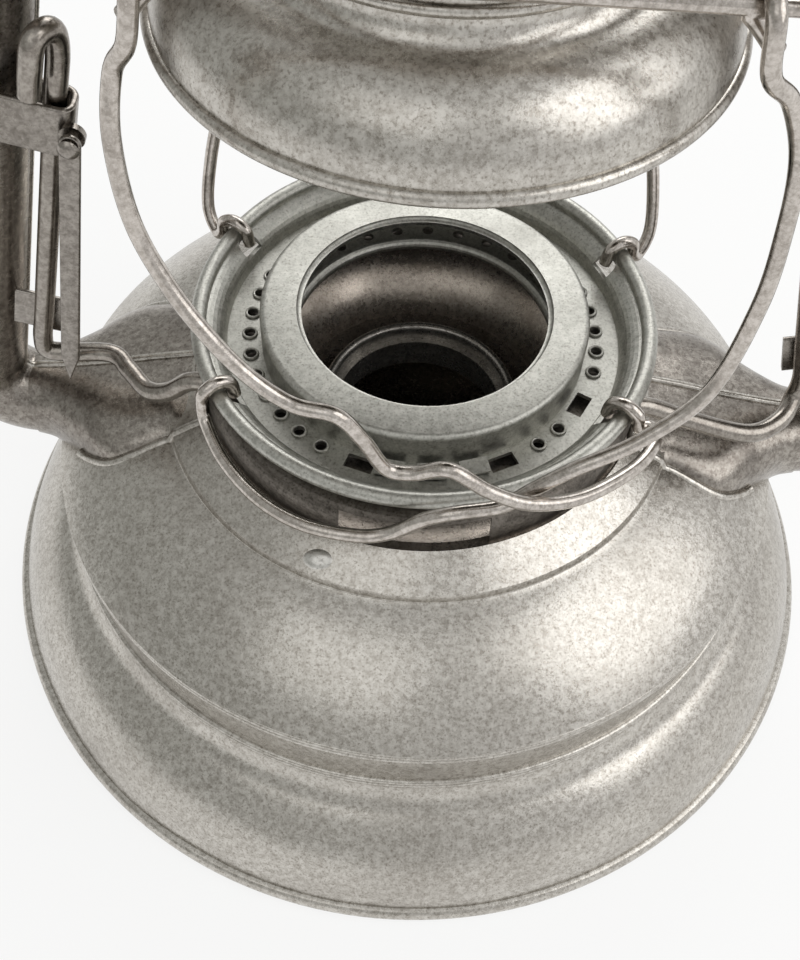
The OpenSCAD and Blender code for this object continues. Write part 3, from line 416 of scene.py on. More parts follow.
def ring_row_tree():
    """A tree that sets a small raised ring round every point."""
    tree = bpy.data.node_groups.new("burr_rings", "GeometryNodeTree")
    for label, kind in (("Points", "NodeSocketGeometry"), ("Ring radius", "NodeSocketFloat"),
                        ("Burr", "NodeSocketFloat"), ("Metal", "NodeSocketMaterial")):
        tree.interface.new_socket(label, in_out="INPUT", socket_type=kind)
    tree.interface.new_socket("Rings", in_out="OUTPUT", socket_type="NodeSocketGeometry")
    given = tree.nodes.new("NodeGroupInput").outputs
    round_path = add(tree, "GeometryNodeCurvePrimitiveCircle",
                     {"Resolution": 20, "Radius": given["Ring radius"]}).outputs["Curve"]
    section = add(tree, "GeometryNodeCurvePrimitiveCircle",
                  {"Resolution": 8, "Radius": given["Burr"]}).outputs["Curve"]
    burr = add(tree, "GeometryNodeCurveToMesh", {"Curve": round_path,
                                                 "Profile Curve": section}).outputs["Mesh"]
    spread = add(tree, "GeometryNodeInstanceOnPoints", {"Points": given["Points"],
                                                        "Instance": burr}).outputs["Instances"]
    whole = add(tree, "GeometryNodeRealizeInstances", {"Geometry": spread}).outputs["Geometry"]
    dressed = add(tree, "GeometryNodeSetMaterial", {"Geometry": whole,
                                                    "Material": given["Metal"]}).outputs["Geometry"]
    add(tree, "NodeGroupOutput", {"Rings": dressed})
    return tree


wire_tree = sweep_tree("wire_along_path", "round")
strap_tree = sweep_tree("strap_along_path", "flat")
burr_tree = ring_row_tree()


def grown(mesh, tree, values):
    """The plain mesh that a tree makes from a mesh and its named inputs."""
    carrier = bpy.data.objects.new(mesh.name, mesh)
    bpy.context.scene.collection.objects.link(carrier)
    modifier = carrier.modifiers.new("grow", "NODES")
    modifier.node_group = tree
    for socket in tree.interface.items_tree:
        if socket.in_out == "INPUT" and socket.name in values:
            modifier[socket.identifier] = values[socket.name]
    graph = bpy.context.evaluated_depsgraph_get()
    result = bpy.data.meshes.new_from_object(carrier.evaluated_get(graph))
    carrier.modifiers.remove(modifier)
    bpy.data.objects.remove(carrier)
    return smooth_mesh(result)


def path_mesh(name, points, closed=False):
    edges = [(k, k + 1) for k in range(len(points) - 1)]
    if closed:
        edges.append((len(points) - 1, 0))
    return mesh_of(name, points, [], edges)


def smooth_path(points, steps=8):
    """A smooth path through points."""
    points = [Vector(p) for p in points]
    last = len(points) - 1
    path = []
    for i in range(last):
        a, b = points[max(i - 1, 0)], points[i]
        c, d = points[i + 1], points[min(i + 2, last)]
        for k in range(steps):
            t = k / steps
            path.append(0.5 * (2 * b + (c - a) * t + (2 * a - 5 * b + 4 * c - d) * t * t
                               + (3 * b - a - 3 * c + d) * t ** 3))
    return path + [points[last]]


def wire(name, points, diameter, metal, sides=18, closed=False):
    return grown(path_mesh(name, points, closed), wire_tree,
                 {"Width": diameter * MM, "Sides": sides, "Metal": metal})


def mirrored(points, side):
    """Points of the right-hand side, or mirrored to the left where side is -1."""
    return [Vector((side * p[0], p[1], p[2])) for p in points]


SIDES = (("left", -1), ("right", 1))


# Base and tank

dome_line = [Vector((band_r, dome_z))]
dome_line += bow((band_r - SHEET / 2, dome_z + SHEET / 2), (step_r, step_z), -1.4, 24)
dome_line += bow((step_r - 0.2, step_z + 0.1), (slope_r, step_z + STEP_H), 0.25, 6)
dome_line += [Vector((ridge_r, ridge_z))]


def dome_height(r):
    """Height of the tank's top at a radius, or below it outside the tank."""
    for a, b in zip(dome_line, dome_line[1:]):
        if b.x <= r <= a.x:
            return a.y + (b.y - a.y) * (a.x - r) / max(a.x - b.x, 1e-6)
    return ridge_z if r < ridge_r else -1.0


def on_dome(angle, radius):
    """A point on the tank's top; the angle runs from the front towards +X, in degrees."""
    a = math.radians(angle)
    return Vector((radius * math.sin(a), -radius * math.cos(a), dome_height(radius)))


def build_tank():
    tip = math.acos(rim_flat / rim_half)
    turns = [tip * (k / 10 - 1) for k in range(21)]
    curl = [Vector((math.cos(t), math.sin(t))) * rim_half for t in turns]
    middle = Vector((rim_mid_r, rim_h / 2))
    piece("rolled_rim", lathe("rolled_rim", [middle + p for p in curl] + [middle - p for p in curl]),
          "frame", tin_plate, "base_rim")

    skirt = bow((band_r, band_z), (flare_r, flare_z), -0.9)
    skirt += bow((flare_r, flare_z), (skirt_r, rim_h), 1.7)[1:]
    piece("flared_skirt", lathe("flared_skirt", sheet_of(skirt), dent=0.22), "frame", tin_plate, "base_skirt")

    bead = 1.2
    band = []
    for low, high in ((band_z, band_z + bead), (band_z + bead, band_z + 2 * bead),
                      (dome_z - 2 * bead, dome_z - bead), (dome_z - bead, dome_z)):
        band += bow((band_r, low), (band_r, high), -SEAM_BEAD * 0.75, 8)
    inner = [Vector((band_r - SHEET, dome_z)), Vector((band_r - SHEET, band_z))]
    piece("tank_band", lathe("tank_band", band + inner, dent=0.15), "frame", tin_plate, "tank_wall")

    piece("domed_top", lathe("domed_top", sheet_of(dome_line), dent=0.2), "frame", tin_plate, "tank_top")

    land_r = ridge_r - 2 * SHEET
    well = [(ridge_r, ridge_z), (land_r, ridge_z)]
    well += bow((land_r - SHEET / 2, ridge_z - SHEET), (collar_r + 6, well_z), -2) + [(collar_r, well_z)]
    well_outline = sheet_of([Vector(p) for p in well][::-1])
    piece("burner_well", lathe("burner_well", well_outline, dent=0.1), "frame", well_plate_with_painted_light, "tank_well")

    roll_z = well_z + COLLAR_H - COLLAR_ROLL
    wall_r, low_z = COLLAR_BORE_R + COLLAR_WALL, well_z - COLLAR_DROP
    collar = [Vector((COLLAR_BORE_R, low_z)), Vector((wall_r, low_z)), Vector((wall_r, well_z - SHEET)),
              Vector((collar_r, well_z - SHEET)), Vector((collar_r, roll_z))]
    collar += bow((collar_r + COLLAR_ROLL / 2, roll_z), (wall_r, roll_z), -COLLAR_ROLL)
    collar += [Vector((wall_r, well_z + SHEET)), Vector((COLLAR_BORE_R, well_z + SHEET))]
    piece("burner_collar_roll", lathe("burner_collar_roll", collar), "frame", collar_steel, "burner_collar")

    lower_edge = round_section(COLLAR_BORE_R + COLLAR_WALL / 2, low_z, COLLAR_WALL / 2)
    piece("collar_lower_edge", lathe("collar_lower_edge", lower_edge), "frame", collar_steel)
    finish_solid("tank_bottom", dulled_and_shaded_plate)
    finish_solid("air_chamber", sooted_plate)

    half, sunk, rise = 2.3, -0.6, 1.1
    blob = [(AXIS_R, sunk)] + [tuple(p) for p in bow((half, sunk), (AXIS_R, rise), -0.7, 10)]
    drop = lathe("solder_drop", blob, 40)
    spot, lean, stretch = on_dome(-19.8, 42.1), math.radians(28), 1.5
    place = Matrix.Translation(spot * MM) @ Matrix.Rotation(lean, 4, "X")
    drop.transform(place @ Matrix.Diagonal((stretch, 1, 1, 1)))
    piece("solder_drop", smooth_mesh(drop), "frame", solder)


# Side tubes with their boots and seams, on +X and mirrored

# Sections of the boot: distance from the lantern's axis, half width, height of its top
BOOT_SECTIONS = ((70.4, 7.52, 49.8), (67, 8.6, 50), (63, 12, 50.5), (59, 16.2, 51.2), (56, 17.8, 51.8),
                 (52, 17.4, 52.6), (47, 16, 53.8), (42, 15, 54.8), (38.8, 14.5, 55.6))
# Outside this radius the boot is free of the tank
BOOT_FREE_R = 61.0
BOOT_SUNK = 0.3
# Below 1 the boot's section is fuller than an ellipse
BOOT_POWER = 0.8


def boot_middle(reach):
    """Height at which the boot is widest: on the tank, or at the tube's middle outside it."""
    on_tank = dome_height(min(reach, BOOT_FREE_R)) - BOOT_SUNK
    outside = max(0.0, reach - BOOT_FREE_R) / (BOOT_SECTIONS[0][0] - BOOT_FREE_R)
    return on_tank + (duct_z - on_tank) * outside


def boot_ring(section, count=72):
    """A section of the boot across the tank's top, at one distance from the axis."""
    reach, half, top = section
    middle = boot_middle(reach)
    ring = []
    for k in range(count):
        turn = 2 * math.pi * k / count
        y = half * math.cos(turn)
        full = math.copysign(abs(math.sin(turn)) ** BOOT_POWER, math.sin(turn))
        rise = (top - middle if full > 0 else tube_r) * full
        ring.append(Vector((math.sqrt(reach ** 2 - y ** 2), y, middle + rise)))
    return ring


def boot_lip(sections):
    """The lip on the tank: along the front edge, across the toe and back along the rear edge."""
    out, up, toe_up = 0.3, 0.5, 0.2
    edge = [Vector((math.sqrt(r ** 2 - half ** 2), -half - out, boot_middle(r) + up))
            for r, half, top in sections if r < BOOT_FREE_R + 1]
    reach, half, top = sections[-1]
    toe = [Vector((math.sqrt(reach ** 2 - y ** 2), y, dome_height(reach) + toe_up))
           for y in [half * (k / 8 - 1) for k in range(1, 16)]]
    return edge + toe + [Vector((p.x, -p.y, p.z)) for p in edge[::-1]]


def build_side_tubes():
    pipe_end, seam_end = math.radians(78), math.radians(62)
    top = [(top_bend_x + TOP_BEND_R * math.cos(a), 0, top_bend_z + TOP_BEND_R * math.sin(a))
           for a in [pipe_end + (TUBE_LEAN - pipe_end) * k / 16 for k in range(17)]]
    foot_turn = TUBE_LEAN + math.pi / 2
    foot = [(ELBOW_X + ELBOW_R * math.cos(a), 0, elbow_z + ELBOW_R * math.sin(a))
            for a in [TUBE_LEAN - foot_turn * k / 24 for k in range(25)]]
    pipe = top + foot
    seam_in = tube_r - PIPE_SEAM / 4
    seam_r, high_seam_r = ELBOW_R - seam_in, TOP_BEND_R - seam_in
    inner_top = [(top_bend_x + high_seam_r * math.cos(a), 0, top_bend_z + high_seam_r * math.sin(a))
                 for a in [seam_end + (TUBE_LEAN - seam_end) * k / 8 for k in range(9)]]
    inner_foot = [(ELBOW_X + seam_r * math.cos(a), 0, elbow_z + seam_r * math.sin(a))
                  for a in [TUBE_LEAN - foot_turn * k / 10 for k in range(11)]]
    sections = smooth_path(BOOT_SECTIONS, 6)
    boot_top = [Vector((reach, 0, top)) for reach, half, top in sections[3:]]
    for side_name, side in SIDES:
        piece("side_pipe_" + side_name,
              wire("side_pipe_" + side_name, mirrored(pipe, side), TUBE_D, dulled_and_shaded_plate, 64),
              "frame", dulled_and_shaded_plate,
              "side_tube_" + side_name, "foot_bend_" + side_name, "top_bend_" + side_name)
        seam = mirrored(inner_top + inner_foot + boot_top, side)
        piece("pipe_seam_" + side_name, wire("pipe_seam_" + side_name, seam, PIPE_SEAM, tin_plate, 10),
              "frame", tin_plate)
        rings = [mirrored(boot_ring(section), side) for section in sections]
        piece("air_boot_" + side_name, smooth_mesh(rings_mesh("air_boot_" + side_name, rings)),
              "frame", dulled_and_shaded_plate, "air_duct_" + side_name)
        name = "boot_lip_" + side_name
        lip = mirrored(boot_lip(sections), side)
        piece(name, wire(name, lip, BOOT_LIP, tin_plate, 10), "frame", tin_plate)


# Guides, catch and lift rods

def tube_frame(z, side):
    """From a tube's own leaning frame at a height to the lantern's, in millimetres."""
    lean = Matrix.Translation((tube_x(z), 0, z)) @ Matrix.Rotation(-TUBE_LEAN, 4, "Y")
    return Matrix.Diagonal((side, 1, 1, 1)) @ lean


def strap_path():
    """The strap's loop from the tube round the rod and back, in the tube's frame."""
    out = guide_tip - GUIDE_WALL / 2
    near = -guide_front + GUIDE_WALL / 2
    far = -2 * ROD_FRONT + guide_front - GUIDE_WALL / 2
    bend = 1.7
    path = [Vector((-STRAP_NEAR_END, near, 0))]
    for centre, start in (((-out + bend, near + bend), 270), ((-out + bend, far - bend), 180)):
        for k in range(9):
            a = math.radians(start - 90 * k / 8)
            path.append(Vector((centre[0] + bend * math.cos(a), centre[1] + bend * math.sin(a), 0)))
    return path + [Vector((-STRAP_FAR_END, far, 0))]


def rest_path():
    """The lower guide's plate behind the rod, open to the front."""
    behind = -ROD_FRONT + slot_half + GUIDE_WALL / 2
    return [Vector((-guide_tip, behind, 0)), Vector((-REST_END, behind, 0))]


def build_guides():
    for side_name, side in SIDES:
        for level, z, path in (("lower", GUIDE_LOW_Z, rest_path()), ("upper", GUIDE_HIGH_Z, strap_path())):
            name = f"guide_strap_{level}_{side_name}"
            mesh = grown(path_mesh(name, path), strap_tree,
                         {"Width": GUIDE_H * MM, "Thickness": GUIDE_WALL * MM, "Sides": 3,
                          "Metal": strap_steel})
            place = tube_frame(z, side)
            place.translation *= MM
            mesh.transform(place)
            piece(name, smooth_mesh(mesh), "frame", strap_steel, f"guide_{level}_{side_name}")


catch_frame = tube_frame(GUIDE_HIGH_Z, -1)


def build_catch():
    half, tip, rounding = CATCH_W / 2, 6.0, 0.28
    turns = [math.radians(a) for a in range(0, 181, 15)]
    outline = [(half * math.cos(a), half * math.sin(a)) for a in turns]
    outline += [(-half, tip - CATCH_LEN), (0, -CATCH_LEN), (half, tip - CATCH_LEN)]
    front = -guide_front - CATCH_GAP - CATCH_T
    hang = Matrix.Rotation(CATCH_TILT, 4, "Y")
    layers = [[catch_frame @ (Vector((-guide_tip, front + depth, 0)) + hang @ Vector((x, 0, z)))
               for x, z in outline] for depth in (0, CATCH_T)]
    count = len(outline)
    faces = [(k, (k + 1) % count, count + (k + 1) % count, count + k) for k in range(count)]
    faces += [tuple(range(count)), tuple(range(count, 2 * count))]
    mesh = mesh_of("catch_leaf", layers[0] + layers[1], faces)
    shape = bmesh.new()
    shape.from_mesh(mesh)
    bmesh.ops.recalc_face_normals(shape, faces=shape.faces)
    bmesh.ops.bevel(shape, geom=shape.edges, offset=rounding * MM, segments=3, affect="EDGES", profile=0.5)
    shape.to_mesh(mesh)
    shape.free()
    piece("catch_leaf", smooth_mesh(mesh, 30), "catch", strap_steel, "lift_catch")

    reach = 2 * CATCH_GAP + CATCH_T
    head = 0.7
    pin_r = CATCH_PIN_D / 2
    outline = [(AXIS_R, 0), (pin_r, 0), (pin_r, reach), (pin_r + head, reach)]
    outline += [tuple(p) for p in bow((pin_r + head, reach), (AXIS_R, reach + head), -0.25, 6)]
    pin = lathe("catch_pin", outline, 32)
    place = catch_frame @ Matrix.Translation((-guide_tip, -guide_front, 0))
    place = place @ Matrix.Rotation(math.pi / 2, 4, "X")
    place.translation *= MM
    pin.transform(place)
    piece("catch_pin", smooth_mesh(pin), "frame", strap_steel)
    lug_r = CATCH_W * 0.6
    lug = lathe("catch_lug", [(AXIS_R, -GUIDE_WALL), (lug_r, -GUIDE_WALL), (lug_r, 0), (AXIS_R, 0)], 32)
    lug.transform(place)
    piece("catch_lug", smooth_mesh(lug), "frame", strap_steel)


def rod_at(z, dx=0.0, dy=0.0, dz=0.0):
    """A point on the right rod's straight line at a height, or moved off it."""
    return Vector((tube_x(z) - ROD_STAND + dx, -ROD_FRONT + dy, z + dz))


def rim_spot(out, angle, z):
    """A point off the plate's rim; the angle runs from the front towards +X, in degrees."""
    a = math.radians(angle)
    return Vector(((PLATE_R + out) * math.sin(a), -(PLATE_R + out) * math.cos(a), z))


def build_lift_rods():
    crank_drop, seat_gap = 6.5, 0.1
    aside, ahead = 2.6, -4.2
    top, low = GUIDE_HIGH_Z + HAIRPIN_H, GUIDE_LOW_Z - crank_drop
    seat_z = plate_rim_z - plate_rim_r - rod_r - seat_gap
    hairpin = [rod_at(GUIDE_HIGH_Z + GUIDE_H / 2, aside, ahead), rod_at(top, aside, ahead),
               rod_at(top + 3, 2.2, -3.4, 0.6), rod_at(top + 3, 0.6, -1, 0.6), rod_at(top)]
    shank = [rod_at(z) for z in (GUIDE_HIGH_Z, (GUIDE_HIGH_Z + GUIDE_LOW_Z) / 2, GUIDE_LOW_Z, low)]
    knee = low - 2
    left = [rod_at(knee, -0.6, 0, -1), rod_at(knee, -3.5, 0, -1.6), rod_at(knee, -11.5, 0, -1.4),
            rod_at(knee, -15, -3, -2), rim_spot(9.6, 74, seat_z - 5.2), rim_spot(6.4, 71, seat_z - 3.6),
            rim_spot(3, 69, seat_z - 0.6), rim_spot(0.4, 67, seat_z)]
    right = [rod_at(knee, -0.8, -1, -2), rod_at(knee, -3.4, -5, -3.6), rod_at(knee, -9, -8, -3.6),
             rim_spot(10, 72, seat_z - 3.6), rim_spot(3, 69, seat_z - 0.8), rim_spot(0.4, 67, seat_z)]
    for (side_name, side), crank in zip(SIDES, (left, right)):
        route = smooth_path(mirrored(hairpin + shank + crank, side), 10)
        name = "lift_rod_" + side_name
        piece(name, wire(name, route, LIFT_ROD, rod_steel), "carrier", rod_steel, "lift_wire_" + side_name)


# Globe plate, ring and guards

def build_plate():
    finish_solid("globe_plate", zinc_plate)
    corner, mouth_corner = 1.0, 0.8
    ring_z = plate_z + RING_H
    ring = [Vector((RING_R, plate_z))]
    ring += bow((RING_R, ring_z - corner), (RING_R - corner, ring_z), -0.3, 6)
    ring += bow((RING_MOUTH_R + mouth_corner, ring_z), (RING_MOUTH_R, ring_z - mouth_corner), 0.24, 6)
    piece("raised_ring", lathe("raised_ring", sheet_of(ring[::-1])), "carrier", zinc_plate, "globe_ring")

    row = RING_R + AIR_HOLE_D
    turns = [360 * (k + 0.5) / OUTER_HOLES - 180 for k in range(OUTER_HOLES)]
    turns = [a for a in turns
             if abs(a) >= FRONT_CLEAR and min(abs(a - at) for at in PLATE_SLOTS) >= SLOT_CLEAR]
    spots = [rim_spot(row - PLATE_R, a, plate_z + BURR_RISE) for a in turns]
    burrs = grown(mesh_of("hole_burrs", spots, []), burr_tree,
                  {"Ring radius": (AIR_HOLE_D / 2 + BURR_R / 2) * MM, "Burr": BURR_R * MM,
                   "Metal": zinc_plate})
    piece("hole_burrs", burrs, "carrier", zinc_plate)
    half_w, half_l, half_t = SLOT_W / 2, SLOT_L / 2, TAB_T / 2
    corners = [Vector((x, y, z)) for z in (-half_t, half_t) for x, y in
               ((-half_w, -half_l), (half_w, -half_l), (half_w, half_l), (-half_w, half_l))]
    faces = [(3, 2, 1, 0), (4, 5, 6, 7)] + [(i, (i + 1) % 4, 4 + (i + 1) % 4, 4 + i) for i in range(4)]
    for k, angle in enumerate((PLATE_SLOTS[0] + TAB_STEP, PLATE_SLOTS[1] - TAB_STEP, FRONT_TAB)):
        tab = mesh_of(f"folded_tab_{k}", corners, faces)
        place = Matrix.Rotation(math.radians(angle), 4, "Z")
        place = place @ Matrix.Translation(Vector((0, -row, plate_z + TAB_RISE)) * MM)
        tab.transform(place @ Matrix.Rotation(TAB_TILT, 4, "X"))
        piece(f"folded_tab_{k}", smooth_mesh(tab), "carrier", zinc_plate)


def guard_spot(out, angle, rise):
    """A point of a guard's route, its rise as a share of the way up to the hood's wire."""
    return rim_spot(out, angle, plate_rim_z + rise * guard_rise)


def rim_hook(angle):
    """The hook over the plate's rim, from the inside out."""
    aside, up = hook_r * 0.8, plate_rim_z + hook_r * 0.6
    drop_inside, drop_outside = 1.2, 0.6
    return [rim_spot(-hook_r, angle, plate_rim_z - drop_inside), rim_spot(-aside, angle, up),
            rim_spot(0, angle, plate_rim_z + hook_r), rim_spot(aside, angle, up),
            rim_spot(hook_r, angle, plate_rim_z - drop_outside)]


def post_hook(x, y):
    """The hook over the hood's cross wire on one side (x) and at front or rear (y)."""
    step = GUARD_WIRE + HOOK_ROOM
    clear = step / math.cos(math.radians(45))
    return [Vector((x * (post_x + 1.6), y * (cross_y + step + 0.6), post_z - 3)),
            Vector((x * (post_x + 0.4), y * (cross_y + step), post_z + clear - 1.6)),
            Vector((x * post_x, y * cross_y, post_z + clear + 0.3)),
            Vector((x * (post_x - 0.2), y * (cross_y - step), post_z + clear + 0.2))]


# Each guard's route: distance out of the rim, angle from the front, share of the way up
FRONT_LEFT_ROUTE = (
    (4.4, 60, -0.01), (6.6, 55, 0.012), (7.4, 46, 0.028), (7.7, 32, 0.06), (7.4, 21, 0.1), (6.4, 13, 0.15),
    (5, 5.4, 0.205), (3.9, -1, 0.17), (3.8, -6.5, 0.175), (4.2, -11, 0.26), (4.9, -15.5, 0.325),
    (6, -23, 0.335), (7.2, -30, 0.38), (8.8, -36, 0.46), (10, -42, 0.55), (10.8, -47, 0.66),
    (10.4, -49, 0.8), (8.4, -50, 0.9))
FRONT_RIGHT_ROUTE = (
    (3.2, -56, -0.05), (4.4, -46, -0.064), (5.6, -34, -0.064), (6, -23, -0.06), (5.2, -12, -0.055),
    (4.3, -5, -0.04), (4.2, 2, 0.02), (4.4, 8, 0.045), (4.6, 17, 0.052), (4.8, 23, 0.09), (6.4, 30, 0.15),
    (9.6, 40, 0.215), (13, 49, 0.32), (13.6, 54, 0.5), (12.6, 55.5, 0.66), (11, 55.5, 0.79), (8.8, 52, 0.9))
REAR_ROUTE = (
    (4.6, 117, -0.03), (7.2, 119, 0.02), (8, 123, 0.13), (7.6, 129, 0.32), (7.8, 133, 0.56), (7.4, 133, 0.78),
    (6, 132, 0.9))


def build_guards():
    rear = rim_hook(REAR_HOOK) + [guard_spot(*s) for s in REAR_ROUTE] + post_hook(1, 1)
    routes = {
        "front_left": ("front_guard", rim_hook(FRONT_HOOK) + [guard_spot(*s) for s in FRONT_LEFT_ROUTE]
                       + post_hook(-1, -1)),
        "front_right": ("front_guard", rim_hook(-FRONT_HOOK) + [guard_spot(*s) for s in FRONT_RIGHT_ROUTE]
                        + post_hook(1, -1)),
        "rear_left": ("rear_guard_left", mirrored(rear, -1)),
        "rear_right": ("rear_guard_right", rear),
    }
    for name, (body, points) in routes.items():
        label = "guard_wire_" + name
        mesh = wire(label, smooth_path(points, 10), GUARD_WIRE, drawn_wire)
        piece(label, mesh, body, drawn_wire, "guard_" + name)


# Hood with its wires, and the pieces above it

hood_shoulder = Vector((neck_r + 2.4, neck_z - 3))


def build_hood():
    corner = 0.6
    line = [Vector((CHIMNEY_R + RUN_GAP, neck_top_z)), Vector((neck_r - corner, neck_top_z))]
    line += bow((neck_r - corner, neck_top_z), (neck_r, neck_top_z - corner), 0.17, 5)[1:]
    line += bow((neck_r, neck_z + 2 * SHEET), (neck_r, neck_z), SHEET, 8)
    line += bow((neck_r, neck_z), hood_shoulder, -0.7, 8)[1:]
    line += bow(hood_shoulder, (HOOD_R, HOOD_Z + 0.6), 2.4, 20)[1:]
    piece("hood_bell", lathe("hood_bell", sheet_of(line), dent=0.15), "hood", tin_plate, "hood")
    edge = round_section(HOOD_R, HOOD_Z, HOOD_EDGE_D / 2)
    piece("hood_rolled_edge", lathe("hood_rolled_edge", edge), "hood", tin_plate)

    for name, y in (("front", -1), ("rear", 1)):
        end = Vector((CROSS_HALF + POST_DROP, y * cross_y, cross_z - POST_DROP))
        near = Vector((CROSS_HALF + 1.2, y * cross_y, cross_z - 1.0))
        half = [Vector((CROSS_HALF - 2, y * cross_y, cross_z)), near, end]
        points = mirrored(half, -1)[::-1] + half
        label = "cross_wire_" + name
        piece(label, wire(label, smooth_path(points, 8), GUARD_WIRE, drawn_wire), "hood", drawn_wire,
              "hood_wire_" + name)
    loop_z = HOOD_Z + HOOD_EDGE_D + guard_r + RUN_GAP
    reach = tube_x(loop_z + LIFT_TRAVEL) - tube_r / math.cos(TUBE_LEAN) - guard_r - 2 * RUN_GAP
    bend, loop_in = 2.0, neck_r + 9
    for side_name, side in SIDES:
        path = [Vector((loop_in, -LOOP_HALF, loop_z))]
        for middle_y, start in ((-LOOP_HALF + bend, -90), (LOOP_HALF - bend, 0)):
            for k in range(7):
                a = math.radians(start + 90 * k / 6)
                path.append(Vector((reach - bend + bend * math.cos(a),
                                    middle_y + bend * math.sin(a), loop_z)))
        path.append(Vector((loop_in, LOOP_HALF, loop_z)))
        label = "side_loop_" + side_name
        piece(label, wire(label, mirrored(path, side), GUARD_WIRE, drawn_wire), "hood", drawn_wire,
              "hood_loop_" + side_name)
    for node, metal in (("hood_bar", dulled_and_shaded_plate), ("hood_stem", drawn_wire)):
        finish_solid(node, metal)


def build_top():
    eye_z = CAP_TOP_Z + EYE_R + SHEET
    slope = math.atan(CAP_H / CAP_R)
    lift = (eye_z - CAP_TOP_Z) * math.cos(slope)
    tilt = math.pi / 2 + slope + math.asin((lift - PULL_RING_D / 2 - RUN_GAP) / (2 * PULL_RING_R))
    lay = Matrix.Translation((0, 0, eye_z)) @ Matrix.Rotation(-tilt, 4, "X")
    turns = [2 * math.pi * k / 64 for k in range(64)]
    loop = [lay @ Vector((PULL_RING_R * math.sin(t), 0, PULL_RING_R * (1 - math.cos(t)))) for t in turns]
    piece("pull_ring_wire", wire("pull_ring_wire", loop, PULL_RING_D, drawn_wire, closed=True),
          "pull_ring", drawn_wire, "lifting_ring")

    bend = 2.2
    arch_z = BAIL_Z + BAIL_LEG
    half = [Vector((BAIL_PIN_IN, 0, BAIL_Z))]
    for k in range(9):
        a = math.radians(-90 + 90 * k / 8)
        half.append(Vector((BAIL_HALF - bend + bend * math.cos(a), 0, BAIL_Z + bend + bend * math.sin(a))))
    half += [Vector((BAIL_HALF * math.cos(a), 0, arch_z + BAIL_HALF * math.sin(a)))
             for a in [math.pi / 2 * k / 32 for k in range(33)]]
    path = half + mirrored(half, -1)[-2::-1]
    piece("bail_wire", wire("bail_wire", path, BAIL_WIRE, drawn_wire), "bail", drawn_wire, "bail")
    for node in ("crown", "chimney_cap", "filler_neck", "filler_cap", "bail_ear_left", "bail_ear_right"):
        finish_solid(node, tin_plate)
    finish_solid("chimney", dulled_and_shaded_plate)
    finish_solid("cap_gasket", sealing_board)


build_tank()
build_side_tubes()
build_guides()
build_catch()
build_lift_rods()
build_plate()
build_guards()
build_hood()
build_top()


# Floor, light and camera

# Share of the floor's look that is its own light, where the camera or a reflection meets it
PAPER_GLOW = 0.8


def build_stage():
    floor_mesh = bpy.data.meshes.new("studio_floor")
    reach = 3.0
    corners = [(-reach, -reach, 0), (reach, -reach, 0), (reach, reach, 0), (-reach, reach, 0)]
    floor_mesh.from_pydata(corners, [], [(0, 1, 2, 3)])
    floor = bpy.data.objects.new("studio_floor", floor_mesh)
    bpy.context.scene.collection.objects.link(floor)
    paper = bpy.data.materials.new("white_paper")
    paper.use_nodes = True
    tree = paper.node_tree
    shader = tree.nodes["Principled BSDF"]
    shader.inputs["Base Color"].default_value = linear("#f4f4f1")
    shader.inputs["Roughness"].default_value = 0.9
    seen = add(tree, "ShaderNodeLightPath").outputs
    glow = add(tree, "ShaderNodeEmission", {"Color": (1, 1, 1, 1), "Strength": 1.0}).outputs[0]
    direct = add(tree, "ShaderNodeMath", {0: seen["Is Camera Ray"], 1: seen["Is Glossy Ray"]},
                 operation="MAXIMUM").outputs[0]
    direct = add(tree, "ShaderNodeMath", {0: direct, 1: seen["Is Transmission Ray"]},
                 operation="MAXIMUM").outputs[0]
    share = add(tree, "ShaderNodeMath", {0: direct, 1: PAPER_GLOW}, operation="MULTIPLY").outputs[0]
    mix = add(tree, "ShaderNodeMixShader", {0: share, 1: shader.outputs[0], 2: glow}).outputs[0]
    tree.links.new(mix, tree.nodes["Material Output"].inputs["Surface"])
    floor_mesh.materials.append(paper)


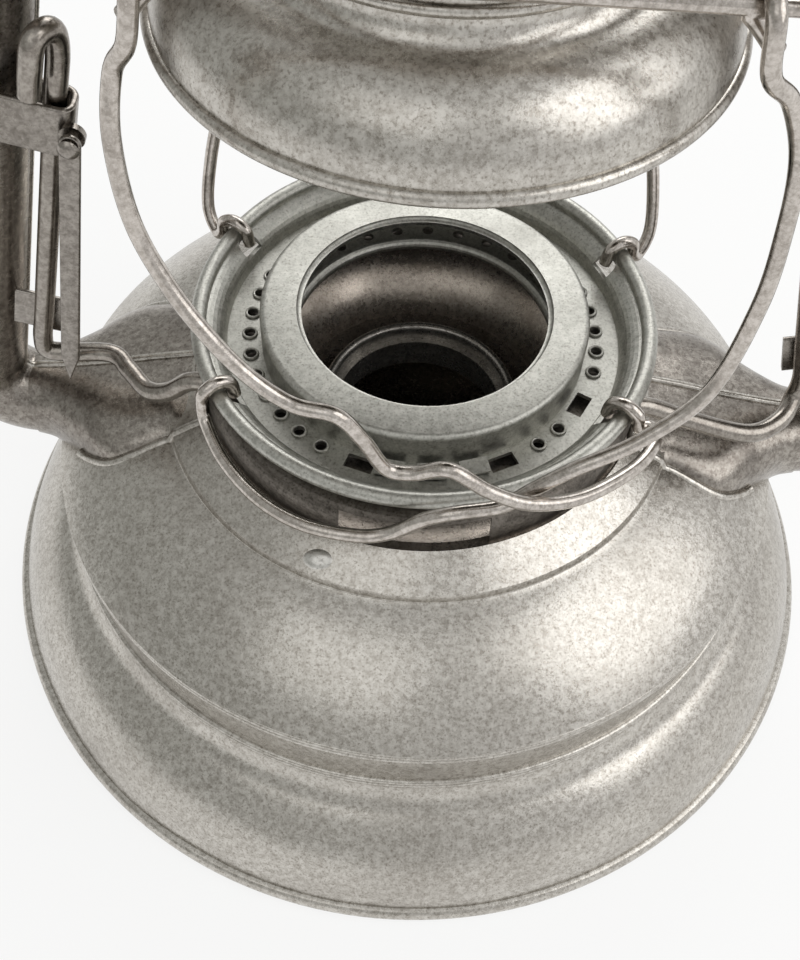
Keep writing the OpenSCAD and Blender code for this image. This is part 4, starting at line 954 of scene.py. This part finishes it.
def lamp(name, place, aim, size, power):
    light = bpy.data.lights.new(name, "AREA")
    light.shape = "RECTANGLE"
    light.size, light.size_y = size
    light.energy = power
    made = bpy.data.objects.new(name, light)
    made.location = place
    made.rotation_euler = (Vector(aim) - Vector(place)).to_track_quat("-Z", "Y").to_euler()
    bpy.context.scene.collection.objects.link(made)


WORLD_LEVEL = 0.78
LAMPS = (("key_softbox", (0.67, -0.22, 0.64), (0.7, 0.7), 2.3),
         ("front_softbox", (-0.2, -0.5, 0.72), (0.5, 0.5), 0.4),
         ("back_softbox", (0.1, 0.7, 0.6), (0.7, 0.4), 2.5))


def build_light():
    world = bpy.data.worlds.new("soft_studio")
    bpy.context.scene.world = world
    world.use_nodes = True
    tree = world.node_tree
    way = add(tree, "ShaderNodeSeparateXYZ",
              {"Vector": add(tree, "ShaderNodeTexCoord").outputs["Generated"]}).outputs
    across = add(tree, "ShaderNodeMapRange", {"Value": way["X"], "From Min": -0.8, "From Max": 0.8})
    tone = add(tree, "ShaderNodeMix", {0: across.outputs["Result"], 6: linear("#c9cac7"),
                                       7: linear("#ffffff")}, data_type="RGBA")
    tree.links.new(tone.outputs[2], tree.nodes["Background"].inputs["Color"])
    tree.nodes["Background"].inputs["Strength"].default_value = WORLD_LEVEL
    middle = (0, 0, 0.08)
    for name, place, size, power in LAMPS:
        lamp(name, place, middle, size, power)


def build_camera():
    """The photograph's viewpoint: from above the front, rolled a little."""
    focus = Vector((-2.64, 0, 19.06))
    elevation, roll = math.radians(55.55), math.radians(3.1)
    distance = 233.6
    forward = Vector((0, math.cos(elevation), -math.sin(elevation)))
    level_up = Vector((0, math.sin(elevation), math.cos(elevation)))
    across = Vector((1, 0, 0))
    right = math.cos(roll) * across + math.sin(roll) * level_up
    up = -math.sin(roll) * across + math.cos(roll) * level_up
    camera = bpy.data.cameras.new("photo_camera")
    camera.sensor_width = 36
    camera.lens = 43.125
    camera.clip_start = 0.005
    made = bpy.data.objects.new("photo_camera", camera)
    turn = Matrix((right, up, -forward)).transposed().to_4x4()
    made.matrix_world = Matrix.Translation((focus - forward * distance) * MM) @ turn
    bpy.context.scene.collection.objects.link(made)
    bpy.context.scene.camera = made


build_stage()
build_light()
build_camera()
bpy.context.scene.view_settings.view_transform = "Standard"
